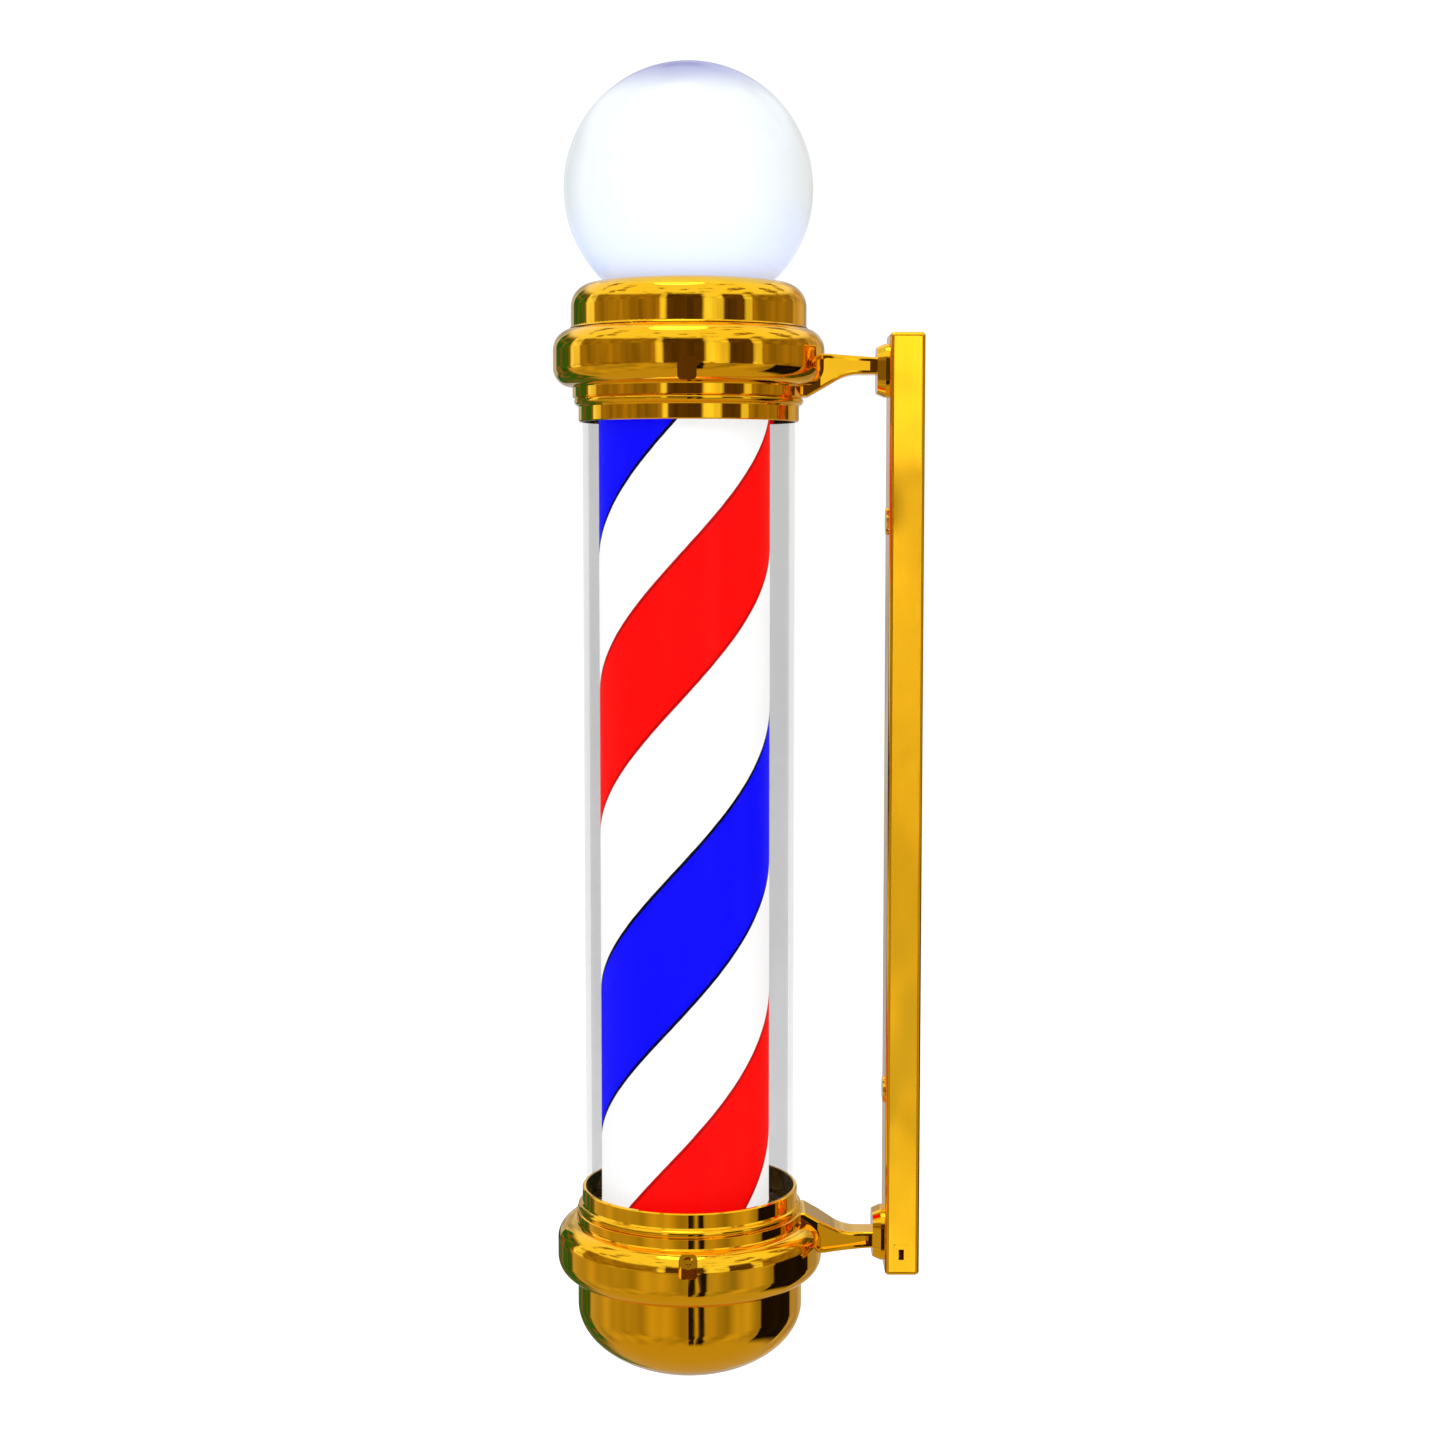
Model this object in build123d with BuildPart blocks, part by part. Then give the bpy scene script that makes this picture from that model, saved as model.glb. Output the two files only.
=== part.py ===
"""Wall-mounted barber pole light: a striped rotor in a clear tube between two collars, under an opal globe.

Units are millimetres. The origin is the middle of the bracket bar's back face, where it lies on the wall.
+Z is up and +Y goes into the wall, so the pole stands in front of the wall at negative Y.
"""
import os
from math import acos, cos, pi, sin, sqrt, tan

from build123d import *

# ---------------------------------------------------------------- driving dimensions
AXIS_Y = -121.0          # centre line of tube, collars, bowl and globe
ROTOR_Y = AXIS_Y - 2.3   # centre line of post and rotor, set a little off the tube's

TUBE_R = 55.0
TUBE_WALL = 3.0
TUBE_HALF = 215.0        # half the length of the clear tube
RIM_Z = 201.0            # a collar's rim, where the tube comes out of it

COLLAR_H = 47.6          # rim to far side
FAR_Z = RIM_Z + COLLAR_H
FLANGE_R = 70.0
SOCKET_R = TUBE_R + 0.2
SHELF_Z = TUBE_HALF + 1.5
SHELF_T = 2.5
PLATE_Z = SHELF_Z + SHELF_T   # seat of the chassis plate and the top plate
PLATE_T = 2.0
PLATE_R = 55.0
BORE_R = 56.0            # inside of a collar behind its shelf

BOWL_R = 59.5
BOWL_WALL = 3.0
SPIGOT_Z = FAR_Z - 6.6   # where bowl and lamp base end inside the collars
BOWL_KNEE_Z = -264.0
BOWL_DEPTH = 36.4        # of the rounded bottom, below the knee
BOWL_BOTTOM_Z = BOWL_KNEE_Z - BOWL_DEPTH

BASE_R = 60.7
BASE_TOP_Z = 272.3
OPENING_R = 43.5
LEDGE_Z = 256.0
LEDGE_T = 3.0

GLOBE_R = 64.0
GLOBE_Z = 319.6
GLOBE_WALL = 2.5
NECK_R = 42.6
NECK_Z = LEDGE_Z + 2.0

ROTOR_R = 44.5
SLEEVE_WALL = 1.2
SLEEVE_HALF = 209.0

MODULE = 1.0
GEAR_TEETH = 54
PINION_TEETH = 17
MESH_SLACK = 0.3         # added to the centre distance
BACKLASH = 0.14          # taken off each tooth's thickness
CENTRE_DISTANCE = MODULE * (GEAR_TEETH + PINION_TEETH) / 2 + MESH_SLACK
GEAR_LOW_Z = -(PLATE_Z - 2.0)
GEAR_TOP_Z = GEAR_LOW_Z + 6.8
SHAFT_R = 3.0
SHAFT_OFFSET = 7.0       # output shaft from the middle of the gearbox
PINION_Y = ROTOR_Y - CENTRE_DISTANCE
MOTOR_Y = PINION_Y + SHAFT_OFFSET
GEARBOX_R = 18.5
GEARBOX_H = 19.0
CAN_R = 16.5
CAN_H = 26.0

POST_R = 5.0
POST_BORE_R = 3.5
BUSH_R = 8.0
RUNNING_FIT = 0.05
BUSH_FLANGE_T = 1.7
BUSH_END_Z = PLATE_Z - 15.5

CORE = 16.0
CORE_HALF = 196.0
STRIP_T = 1.0
CHIP_T = 1.2

BAR_W = 32.0
BAR_D = 18.0
BAR_HALF = 246.4
BAR_WALL = 1.5
CAP_T = 2.5
PLUG_H = 3.5             # of an end cap, inside the bar
WALL_HOLE_Z = 150.0
WALL_HOLE_R = 3.25
ACCESS_R = 6.0

ARM_NECK_Z = 229.45      # middle of an arm's neck
ARM_NECK_H = 8.3
ARM_NECK_W = 16.0
ARM_ROOT_W = 26.0
FOOT_Z = 227.3
FOOT_H = 27.4
FOOT_T = 6.2
FOOT_SCREW_X = 8.5       # arm screws, either side of the wireway
FOOT_SCREW_R = 1.95
ROOT_SCREW_X = 5.8
ROOT_SCREW_R = 1.5
WIREWAY_R = 2.4
SADDLE_FACE_R = 53.0     # flat inner face of a clamp saddle, from the pole's centre line

OUTLET_Y = -9.5          # cable outlet in the bar's side
OUTLET_Z = -234.8

COLLAR_SCREW_ANGLES = (0, 120, 240)
PLATE_SCREW_ANGLES = (60, 180, 300)
COLLAR_SCREW_Z = 225.4
POCKET_FLOOR_R = 61.0

BASE = (Align.CENTER, Align.CENTER, Align.MIN)
HANG = (Align.CENTER, Align.CENTER, Align.MAX)

os.makedirs("parts", exist_ok=True)


# ---------------------------------------------------------------- helpers
def level(z, axis_y=AXIS_Y):
    """A horizontal plane at height z, centred on a vertical centre line."""
    return Plane(origin=(0, axis_y, z))


def profile_plane(axis_y=AXIS_Y):
    """The upright plane in which x is the radius from a centre line and y is the height."""
    return Plane(origin=(0, axis_y, 0), x_dir=(1, 0, 0), z_dir=(0, -1, 0))


def centre_line(axis_y=AXIS_Y):
    return Axis((0, axis_y, 0), (0, 0, 1))


def radial_plane(radius, angle, z):
    """A plane facing away from the pole's centre line, at a radius, an angle from +X and a height."""
    out = Vector(cos(angle * pi / 180), sin(angle * pi / 180), 0)
    origin = Vector(0, AXIS_Y, z) + out * radius
    return Plane(origin=origin, x_dir=(0, 0, 1), z_dir=out)


def save(builder, name):
    builder.part.label = name
    export_step(builder.part, f"parts/{name}.step")


def screw(seat, head_radius, head_height, shank_radius, shank_length):
    """A pan head with a cross recess on its seat plane, and its shank on the other side."""
    with Locations(seat.location):
        Cylinder(head_radius, head_height, align=BASE)
        Cylinder(shank_radius, shank_length, align=HANG)
    with Locations(seat.offset(head_height).location):
        slot = head_radius * 1.1
        Box(slot, slot / 5, head_height * 0.45, align=HANG, mode=Mode.SUBTRACT)
        Box(slot / 5, slot, head_height * 0.45, align=HANG, mode=Mode.SUBTRACT)


def gear_points(teeth, first_angle):
    """The closed outline of a 20 degree involute gear, with one tooth centred on first_angle (radians)."""
    pressure = 20 * pi / 180
    pitch_r = MODULE * teeth / 2
    base_r = pitch_r * cos(pressure)
    tip_r = pitch_r + MODULE
    root_r = pitch_r - 1.25 * MODULE
    flank_steps = 4

    def half_tooth(radius):
        angle = acos(min(1.0, base_r / radius))
        half_at_pitch = (pi * MODULE / 2 - BACKLASH) / 2 / pitch_r
        return half_at_pitch + (tan(pressure) - pressure) - (tan(angle) - angle)

    low_r = max(base_r, root_r)
    radii = [low_r + (tip_r - low_r) * i / flank_steps for i in range(flank_steps + 1)]
    if low_r > root_r:
        radii.insert(0, root_r)
    flank = [(r, half_tooth(max(r, base_r))) for r in radii]
    points = []
    for tooth in range(teeth):
        middle = first_angle + 2 * pi * tooth / teeth
        rising = [(r, middle - half) for r, half in flank]
        falling = [(r, middle + half) for r, half in reversed(flank)]
        points += [(r * cos(a), r * sin(a)) for r, a in rising + falling]
    return points


def collar_outline(grow=0.0):
    """The outside of the upper collar from its rim to its far side, as lines and arcs in the profile plane."""
    fillet_r = 9.6
    round_r = 11.0
    flange = FLANGE_R + grow
    shoulder = flange - fillet_r
    edge = flange - round_r
    s = RIM_Z
    Polyline(
        (0, s), (56.4 + grow, s), (57 + grow, s + 0.6), (57 + grow, s + 7.6), (57.6 + grow, s + 8.4),
    )
    ThreePointArc((57.6 + grow, s + 8.4), (59.2 + grow, s + 10.2), (58.6 + grow, s + 12))
    Polyline((58.6 + grow, s + 12), (60 + grow, s + 12.6), (60 + grow, s + 17.4), (shoulder, s + 18))
    corner = fillet_r * (1 - sqrt(0.5))
    ThreePointArc(
        (shoulder, s + 18), (flange - corner, s + 18 + corner), (flange, s + 18 + fillet_r),
    )
    Line((flange, s + 18 + fillet_r), (flange, FAR_Z - round_r))
    corner = round_r * (1 - sqrt(0.5))
    ThreePointArc(
        (flange, FAR_Z - round_r), (flange - corner, FAR_Z - corner), (edge, FAR_Z),
    )
    Polyline((edge, FAR_Z), (0, FAR_Z), (0, s))


# ---------------------------------------------------------------- collars
with BuildPart() as collar_envelope:
    with BuildSketch(profile_plane()) as envelope_face:
        with BuildLine():
            collar_outline(0.02)
        make_face()
    revolve(axis=centre_line())

with BuildPart() as upper_collar:
    with BuildSketch(profile_plane()):
        with BuildLine():
            collar_outline()
        make_face()
    revolve(axis=centre_line())
    # socket, shelf and the hollow behind it
    with BuildSketch(profile_plane()):
        with BuildLine():
            Polyline(
                (0, RIM_Z - 1), (SOCKET_R, RIM_Z - 1), (SOCKET_R, SHELF_Z), (49.5, SHELF_Z),
                (49.5, PLATE_Z), (BORE_R, PLATE_Z), (BORE_R, 231), (66.5, 236.5), (66.5, 241), (61.5, 245.6),
                (59.8, 245.6), (59.8, FAR_Z + 1), (0, FAR_Z + 1), (0, RIM_Z - 1),
            )
        make_face()
    revolve(axis=centre_line(), mode=Mode.SUBTRACT)
    # pockets for the screws that hold the bowl or the lamp base
    for angle in COLLAR_SCREW_ANGLES:
        with BuildSketch(radial_plane(POCKET_FLOOR_R, angle, COLLAR_SCREW_Z)) as pocket:
            Rectangle(11.2, 9.5)
            fillet(pocket.vertices(), 2.2)
        extrude(amount=12, mode=Mode.SUBTRACT)
        with Locations(radial_plane(POCKET_FLOOR_R, angle, COLLAR_SCREW_Z).location):
            Cylinder(1.7, 8, align=HANG, mode=Mode.SUBTRACT)
    # holes for the screws that hold the arm
    for x in (-ROOT_SCREW_X, ROOT_SCREW_X):
        with Locations(Location((x, AXIS_Y + 50, ARM_NECK_Z), (-90, 0, 0))):
            Cylinder(ROOT_SCREW_R + 0.1, 24, align=BASE, mode=Mode.SUBTRACT)
    # tapped holes in the shelf
    for angle in PLATE_SCREW_ANGLES:
        with Locations(radial_plane(52.3, angle, SHELF_Z - 0.1).origin):
            Cylinder(1.5, 5, align=BASE, mode=Mode.SUBTRACT)
save(upper_collar, "upper_collar")

with BuildPart() as lower_collar:
    mirror(upper_collar.part, about=Plane.XY)
    # wireway from the lower arm
    with Locations(Location((0, AXIS_Y + 50, -ARM_NECK_Z), (-90, 0, 0))):
        Cylinder(WIREWAY_R, 24, align=BASE, mode=Mode.SUBTRACT)
save(lower_collar, "lower_collar")

with BuildPart() as clear_tube:
    with BuildSketch(level(-TUBE_HALF)):
        Circle(TUBE_R)
        Circle(TUBE_R - TUBE_WALL, mode=Mode.SUBTRACT)
    extrude(amount=2 * TUBE_HALF)
save(clear_tube, "clear_tube")

with BuildPart() as tube_gaskets:
    for z in (TUBE_HALF, -SHELF_Z):
        with BuildSketch(level(z)):
            Circle(TUBE_R - 0.1)
            Circle(TUBE_R - TUBE_WALL - 0.4, mode=Mode.SUBTRACT)
        extrude(amount=SHELF_Z - TUBE_HALF)
save(tube_gaskets, "tube_gaskets")


# ---------------------------------------------------------------- bowl and lamp base
LUG_IN_R = 52.5
LUG_OUT_R = BORE_R - 0.2
LUG_END_Z = PLATE_Z + PLATE_T + 0.7
LUG_ROOT_Z = SPIGOT_Z + 4


def lugs(side):
    """Three lugs inside the spigot, which reach past the collar's screws. side is 1 at the top, -1 below."""
    for angle in COLLAR_SCREW_ANGLES:
        lug_plane = radial_plane(LUG_IN_R, angle, side * (LUG_END_Z + LUG_ROOT_Z) / 2)
        with BuildSketch(lug_plane) as outline:
            Rectangle(LUG_ROOT_Z - LUG_END_Z, 12)
        extrude(outline.sketch, amount=LUG_OUT_R - LUG_IN_R - 0.35)
        root_plane = radial_plane(LUG_IN_R, angle, side * (SPIGOT_Z + LUG_ROOT_Z) / 2)
        with BuildSketch(root_plane) as outline:
            Rectangle(LUG_ROOT_Z - SPIGOT_Z, 12)
        extrude(outline.sketch, amount=5)
        with Locations(radial_plane(POCKET_FLOOR_R, angle, side * COLLAR_SCREW_Z).location):
            Cylinder(1.45, 10, align=HANG, mode=Mode.SUBTRACT)


with BuildPart() as lower_bowl:
    with BuildSketch(profile_plane()):
        with BuildLine():
            Line((BOWL_R, BOWL_KNEE_Z), (BOWL_R, -SPIGOT_Z))
            Line((BOWL_R, -SPIGOT_Z), (BOWL_R - BOWL_WALL, -SPIGOT_Z))
            Line((BOWL_R - BOWL_WALL, -SPIGOT_Z), (BOWL_R - BOWL_WALL, BOWL_KNEE_Z))
            EllipticalCenterArc(
                (0, BOWL_KNEE_Z), BOWL_R - BOWL_WALL, BOWL_DEPTH - BOWL_WALL, start_angle=270, arc_size=90
            )
            Line((0, BOWL_BOTTOM_Z + BOWL_WALL), (0, BOWL_BOTTOM_Z))
            EllipticalCenterArc((0, BOWL_KNEE_Z), BOWL_R, BOWL_DEPTH, start_angle=270, arc_size=90)
        make_face()
    revolve(axis=centre_line())
    lugs(-1)
save(lower_bowl, "lower_bowl")

with BuildPart() as lamp_base:
    round_r = 12.0
    corner = round_r * (1 - sqrt(0.5))
    shoulder_z = BASE_TOP_Z - 0.6
    wall_r = BASE_R - 3
    with BuildSketch(profile_plane()):
        with BuildLine():
            Polyline((56.5, SPIGOT_Z), (59.5, SPIGOT_Z), (59.5, FAR_Z), (61.6, FAR_Z))
            ThreePointArc((61.6, FAR_Z), (60.96, FAR_Z + 0.34), (BASE_R, FAR_Z + 1.1))
            Line((BASE_R, FAR_Z + 1.1), (BASE_R, shoulder_z - round_r))
            ThreePointArc(
                (BASE_R, shoulder_z - round_r), (BASE_R - corner, shoulder_z - corner),
                (BASE_R - round_r, shoulder_z),
            )
            Polyline(
                (BASE_R - round_r, shoulder_z), (OPENING_R + 1, BASE_TOP_Z), (OPENING_R, BASE_TOP_Z - 0.6),
                (OPENING_R, BASE_TOP_Z - 3), (52, BASE_TOP_Z - 3.4), (wall_r, BASE_TOP_Z - 8.6),
                (wall_r, LEDGE_Z), (30, LEDGE_Z), (30, LEDGE_Z - LEDGE_T), (56.5, LEDGE_Z - LEDGE_T),
                (56.5, SPIGOT_Z),
            )
        make_face()
    revolve(axis=centre_line())
    lugs(1)
    for angle in PLATE_SCREW_ANGLES:
        with Locations(radial_plane(33, angle, LEDGE_Z - LEDGE_T).origin):
            Cylinder(1.25, 2.4, align=BASE, mode=Mode.SUBTRACT)
save(lamp_base, "lamp_base")

with BuildPart() as collar_screws:
    for side in (-1, 1):
        for angle in COLLAR_SCREW_ANGLES:
            screw(radial_plane(POCKET_FLOOR_R, angle, side * COLLAR_SCREW_Z), 2.7, 1.9, 1.4, 8)
save(collar_screws, "collar_screws")


# ---------------------------------------------------------------- globe and lamp
with BuildPart() as globe:
    inner_r = GLOBE_R - GLOBE_WALL
    inner_neck = NECK_R - GLOBE_WALL
    with BuildSketch(profile_plane()):
        with BuildLine():
            outer_z = GLOBE_Z - sqrt(GLOBE_R**2 - NECK_R**2)
            inner_z = GLOBE_Z - sqrt(inner_r**2 - inner_neck**2)
            Line((NECK_R, NECK_Z), (NECK_R, outer_z))
            ThreePointArc((NECK_R, outer_z), (GLOBE_R, GLOBE_Z), (0, GLOBE_Z + GLOBE_R))
            Line((0, GLOBE_Z + GLOBE_R), (0, GLOBE_Z + inner_r))
            ThreePointArc((0, GLOBE_Z + inner_r), (inner_r, GLOBE_Z), (inner_neck, inner_z))
            Line((inner_neck, inner_z), (inner_neck, NECK_Z))
            Line((inner_neck, NECK_Z), (NECK_R, NECK_Z))
        make_face()
    revolve(axis=centre_line())
save(globe, "globe")

with BuildPart() as globe_gasket:
    with BuildSketch(level(LEDGE_Z)):
        Circle(NECK_R + 0.7)
        Circle(NECK_R - 2.3, mode=Mode.SUBTRACT)
    extrude(amount=NECK_Z - LEDGE_Z)
save(globe_gasket, "globe_gasket")

CLIP_T = 0.6
CLIP_R = NECK_R - GLOBE_WALL - 0.4
with BuildPart() as globe_clips:
    for angle in COLLAR_SCREW_ANGLES:
        clip_plane = Plane(
            origin=(0, AXIS_Y, 0),
            x_dir=(cos(angle * pi / 180), sin(angle * pi / 180), 0),
            z_dir=(sin(angle * pi / 180), -cos(angle * pi / 180), 0),
        )
        with BuildSketch(clip_plane):
            with BuildLine():
                Polyline(
                    (31.5, LEDGE_Z + CLIP_T / 2), (CLIP_R - 3, LEDGE_Z + CLIP_T / 2),
                    (CLIP_R - CLIP_T / 2, LEDGE_Z + 9), (CLIP_R - 2, LEDGE_Z + 15),
                )
                offset(amount=CLIP_T / 2)
            make_face()
        extrude(amount=4, both=True)
save(globe_clips, "globe_clips")

TRAY_T = 1.5
TRAY_Z = LEDGE_Z - LEDGE_T - TRAY_T
with BuildPart() as lamp_tray:
    with BuildSketch(level(TRAY_Z)):
        Circle(36)
        Circle(5.5, mode=Mode.SUBTRACT)
        with Locations((-12, 0), (12, 0)):
            Circle(1.8, mode=Mode.SUBTRACT)
        with PolarLocations(33, 3, start_angle=PLATE_SCREW_ANGLES[0]):
            Circle(1.7, mode=Mode.SUBTRACT)
        with PolarLocations(24, 6, start_angle=30):
            Circle(3, mode=Mode.SUBTRACT)
    extrude(amount=TRAY_T)
save(lamp_tray, "lamp_tray")

with BuildPart() as tray_screws:
    for angle in PLATE_SCREW_ANGLES:
        seat = Plane(origin=radial_plane(33, angle, TRAY_Z).origin, x_dir=(1, 0, 0), z_dir=(0, 0, -1))
        screw(seat, 2.6, 1.8, 1.2, TRAY_T + 2.2)
save(tray_screws, "tray_screws")

HOLDER_Z = TRAY_Z + TRAY_T
HOLDER_R = 20.0
HOLDER_H = 27.0
THREAD_R = 13.4
with BuildPart() as lampholder:
    with BuildSketch(profile_plane()):
        with BuildLine():
            Polyline(
                (0, HOLDER_Z), (18, HOLDER_Z), (HOLDER_R - 2, HOLDER_Z + 8), (HOLDER_R, HOLDER_Z + 10),
                (HOLDER_R, HOLDER_Z + HOLDER_H - 1), (HOLDER_R - 1, HOLDER_Z + HOLDER_H),
                (THREAD_R + 0.1, HOLDER_Z + HOLDER_H), (THREAD_R + 0.1, HOLDER_Z + 8), (0, HOLDER_Z + 8),
                (0, HOLDER_Z),
            )
        make_face()
    revolve(axis=centre_line())
    with Locations((-12, AXIS_Y, HOLDER_Z), (12, AXIS_Y, HOLDER_Z)):
        Cylinder(1.25, 6, align=BASE, mode=Mode.SUBTRACT)
    with Locations((0, ROTOR_Y, HOLDER_Z)):
        Cylinder(1.8, 4, align=BASE, mode=Mode.SUBTRACT)
save(lampholder, "lampholder")

with BuildPart() as lampholder_screws:
    for x in (-12, 12):
        screw(Plane(origin=(x, AXIS_Y, TRAY_Z), x_dir=(1, 0, 0), z_dir=(0, 0, -1)), 2.6, 1.8, 1.2, 7)
save(lampholder_screws, "lampholder_screws")

BULB_Z = HOLDER_Z + 8.2          # the bulb's centre contact
BULB_SHOULDER_Z = BULB_Z + 26
BULB_R = 29.0
BULB_MIDDLE_Z = BULB_SHOULDER_Z + 50
with BuildPart() as bulb_cap:
    with BuildSketch(profile_plane()):
        with BuildLine():
            Polyline(
                (0, BULB_Z), (5, BULB_Z), (11, BULB_Z + 4), (THREAD_R - 0.1, BULB_Z + 5),
                (THREAD_R - 0.1, BULB_SHOULDER_Z), (0, BULB_SHOULDER_Z), (0, BULB_Z),
            )
        make_face()
    revolve(axis=centre_line())
save(bulb_cap, "bulb_cap")

with BuildPart() as bulb_body:
    with BuildSketch(profile_plane()):
        with BuildLine():
            Line((0, BULB_SHOULDER_Z), (THREAD_R + 0.8, BULB_SHOULDER_Z))
            Line((THREAD_R + 0.8, BULB_SHOULDER_Z), (THREAD_R + 1.6, BULB_SHOULDER_Z + 4))
            Spline(
                (THREAD_R + 1.6, BULB_SHOULDER_Z + 4), (22, BULB_SHOULDER_Z + 24), (BULB_R, BULB_MIDDLE_Z),
                tangents=((0.15, 1), (0, 1)),
            )
            Line((BULB_R, BULB_MIDDLE_Z), (0, BULB_MIDDLE_Z))
            Line((0, BULB_MIDDLE_Z), (0, BULB_SHOULDER_Z))
        make_face()
    revolve(axis=centre_line())
save(bulb_body, "bulb_body")

with BuildPart() as bulb_dome:
    with BuildSketch(profile_plane()):
        with BuildLine():
            Line((0, BULB_MIDDLE_Z), (BULB_R, BULB_MIDDLE_Z))
            CenterArc((0, BULB_MIDDLE_Z), BULB_R, 0, 90)
            Line((0, BULB_MIDDLE_Z + BULB_R), (0, BULB_MIDDLE_Z + BULB_R - 1.5))
            CenterArc((0, BULB_MIDDLE_Z), BULB_R - 1.5, 40, 50)
            knee = 40 * pi / 180
            Polyline(
                ((BULB_R - 1.5) * cos(knee), BULB_MIDDLE_Z + (BULB_R - 1.5) * sin(knee)),
                ((BULB_R - 1.5) * cos(knee), BULB_MIDDLE_Z + 2), (0, BULB_MIDDLE_Z + 2), (0, BULB_MIDDLE_Z),
            )
        make_face()
    revolve(axis=centre_line())
save(bulb_dome, "bulb_dome")


# ---------------------------------------------------------------- plates and centre post
def plate_screw_holes(radius):
    with PolarLocations(52.3, 3, start_angle=PLATE_SCREW_ANGLES[0]):
        Circle(radius, mode=Mode.SUBTRACT)


DRIVER_Y = AXIS_Y + 23
DRIVER_W = 52.0
DRIVER_D = 28.0
DRIVER_H = 24.0
DRIVER_EAR_X = DRIVER_W / 2 + 4.5
DRIVER_TOP_Z = -(PLATE_Z + PLATE_T)
MOTOR_SCREW_X = 15.5

with BuildPart() as chassis_plate:
    with BuildSketch(level(-PLATE_Z - PLATE_T)):
        Circle(PLATE_R)
        plate_screw_holes(1.7)
        with Locations((0, ROTOR_Y - AXIS_Y)):
            Circle(POST_R + 0.1, mode=Mode.SUBTRACT)
        with Locations((0, PINION_Y - AXIS_Y)):
            Circle(6.3, mode=Mode.SUBTRACT)
        with Locations((-MOTOR_SCREW_X, MOTOR_Y - AXIS_Y), (MOTOR_SCREW_X, MOTOR_Y - AXIS_Y)):
            Circle(1.7, mode=Mode.SUBTRACT)
        with Locations((-DRIVER_EAR_X, DRIVER_Y - AXIS_Y), (DRIVER_EAR_X, DRIVER_Y - AXIS_Y)):
            Circle(1.3, mode=Mode.SUBTRACT)
    extrude(amount=PLATE_T)
save(chassis_plate, "chassis_plate")

with BuildPart() as top_plate:
    with BuildSketch(level(PLATE_Z)):
        Circle(PLATE_R)
        plate_screw_holes(1.7)
        with Locations((0, ROTOR_Y - AXIS_Y)):
            Circle(POST_R + 0.1, mode=Mode.SUBTRACT)
        with PolarLocations(34, 6, start_angle=0):
            Circle(7, mode=Mode.SUBTRACT)
    extrude(amount=PLATE_T)
save(top_plate, "top_plate")

with BuildPart() as plate_screws:
    for side in (-1, 1):
        for angle in PLATE_SCREW_ANGLES:
            seat_origin = radial_plane(52.3, angle, side * (PLATE_Z + PLATE_T)).origin
            screw(Plane(origin=seat_origin, x_dir=(1, 0, 0), z_dir=(0, 0, side)), 2.6, 1.8, 1.45, 4.3)
save(plate_screws, "plate_screws")

POST_END_Z = 233.0
STRIP_HOLE_Z = CORE_HALF + 3.5
with BuildPart() as centre_tube:
    with BuildSketch(level(-POST_END_Z, ROTOR_Y)):
        Circle(POST_R)
        Circle(POST_BORE_R, mode=Mode.SUBTRACT)
    extrude(amount=2 * POST_END_Z)
    with Locations(Location((0, ROTOR_Y, STRIP_HOLE_Z), (0, 90, 0))):
        Cylinder(1.1, 8, align=BASE, mode=Mode.SUBTRACT)
save(centre_tube, "centre_tube")

WASHER_T = 1.0
NUT_T = 5.0
with BuildPart() as tube_washers:
    for z in (PLATE_Z + PLATE_T, -(PLATE_Z + PLATE_T + WASHER_T)):
        with BuildSketch(level(z, ROTOR_Y)):
            Circle(8.5)
            Circle(POST_R + 0.1, mode=Mode.SUBTRACT)
        extrude(amount=WASHER_T)
save(tube_washers, "tube_washers")

with BuildPart() as tube_nuts:
    for z in (PLATE_Z + PLATE_T + WASHER_T, -(PLATE_Z + PLATE_T + WASHER_T + NUT_T)):
        with BuildSketch(level(z, ROTOR_Y)):
            RegularPolygon(8.08, 6)
            Circle(POST_R + 0.02, mode=Mode.SUBTRACT)
        extrude(amount=NUT_T)
save(tube_nuts, "tube_nuts")


def bush(side):
    """A flanged bush between a plate and the rotor's hub, round the centre tube."""
    low = -PLATE_Z if side < 0 else BUSH_END_Z
    with BuildSketch(level(low, ROTOR_Y)) as sleeve:
        Circle(BUSH_R)
        Circle(POST_R + 0.02, mode=Mode.SUBTRACT)
    extrude(sleeve.sketch, amount=PLATE_Z - BUSH_END_Z)
    flange_z = -PLATE_Z if side < 0 else PLATE_Z - BUSH_FLANGE_T
    with BuildSketch(level(flange_z, ROTOR_Y)) as flange:
        Circle(12)
        Circle(POST_R + 0.02, mode=Mode.SUBTRACT)
    extrude(flange.sketch, amount=BUSH_FLANGE_T)


with BuildPart() as lower_bush:
    bush(-1)
save(lower_bush, "lower_bush")

with BuildPart() as upper_bush:
    bush(1)
save(upper_bush, "upper_bush")

with BuildPart() as led_core:
    with BuildSketch(level(-CORE_HALF, ROTOR_Y)) as core_section:
        Rectangle(CORE, CORE)
        fillet(core_section.vertices(), 1)
        Circle(POST_R + 0.05, mode=Mode.SUBTRACT)
        with GridLocations(CORE - 4.6, CORE - 4.6, 2, 2):
            Circle(1.1, mode=Mode.SUBTRACT)
    extrude(amount=2 * CORE_HALF)
save(led_core, "led_core")

with BuildPart() as core_spacers:
    for low in (-BUSH_END_Z, CORE_HALF):
        with BuildSketch(level(low, ROTOR_Y)):
            Circle(BUSH_R)
            Circle(POST_R + 0.05, mode=Mode.SUBTRACT)
            with Locations((BUSH_R, 0)):
                Rectangle(2 * BUSH_R - 8, 2.4, mode=Mode.SUBTRACT)
        extrude(amount=BUSH_END_Z - CORE_HALF)
save(core_spacers, "core_spacers")


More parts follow.
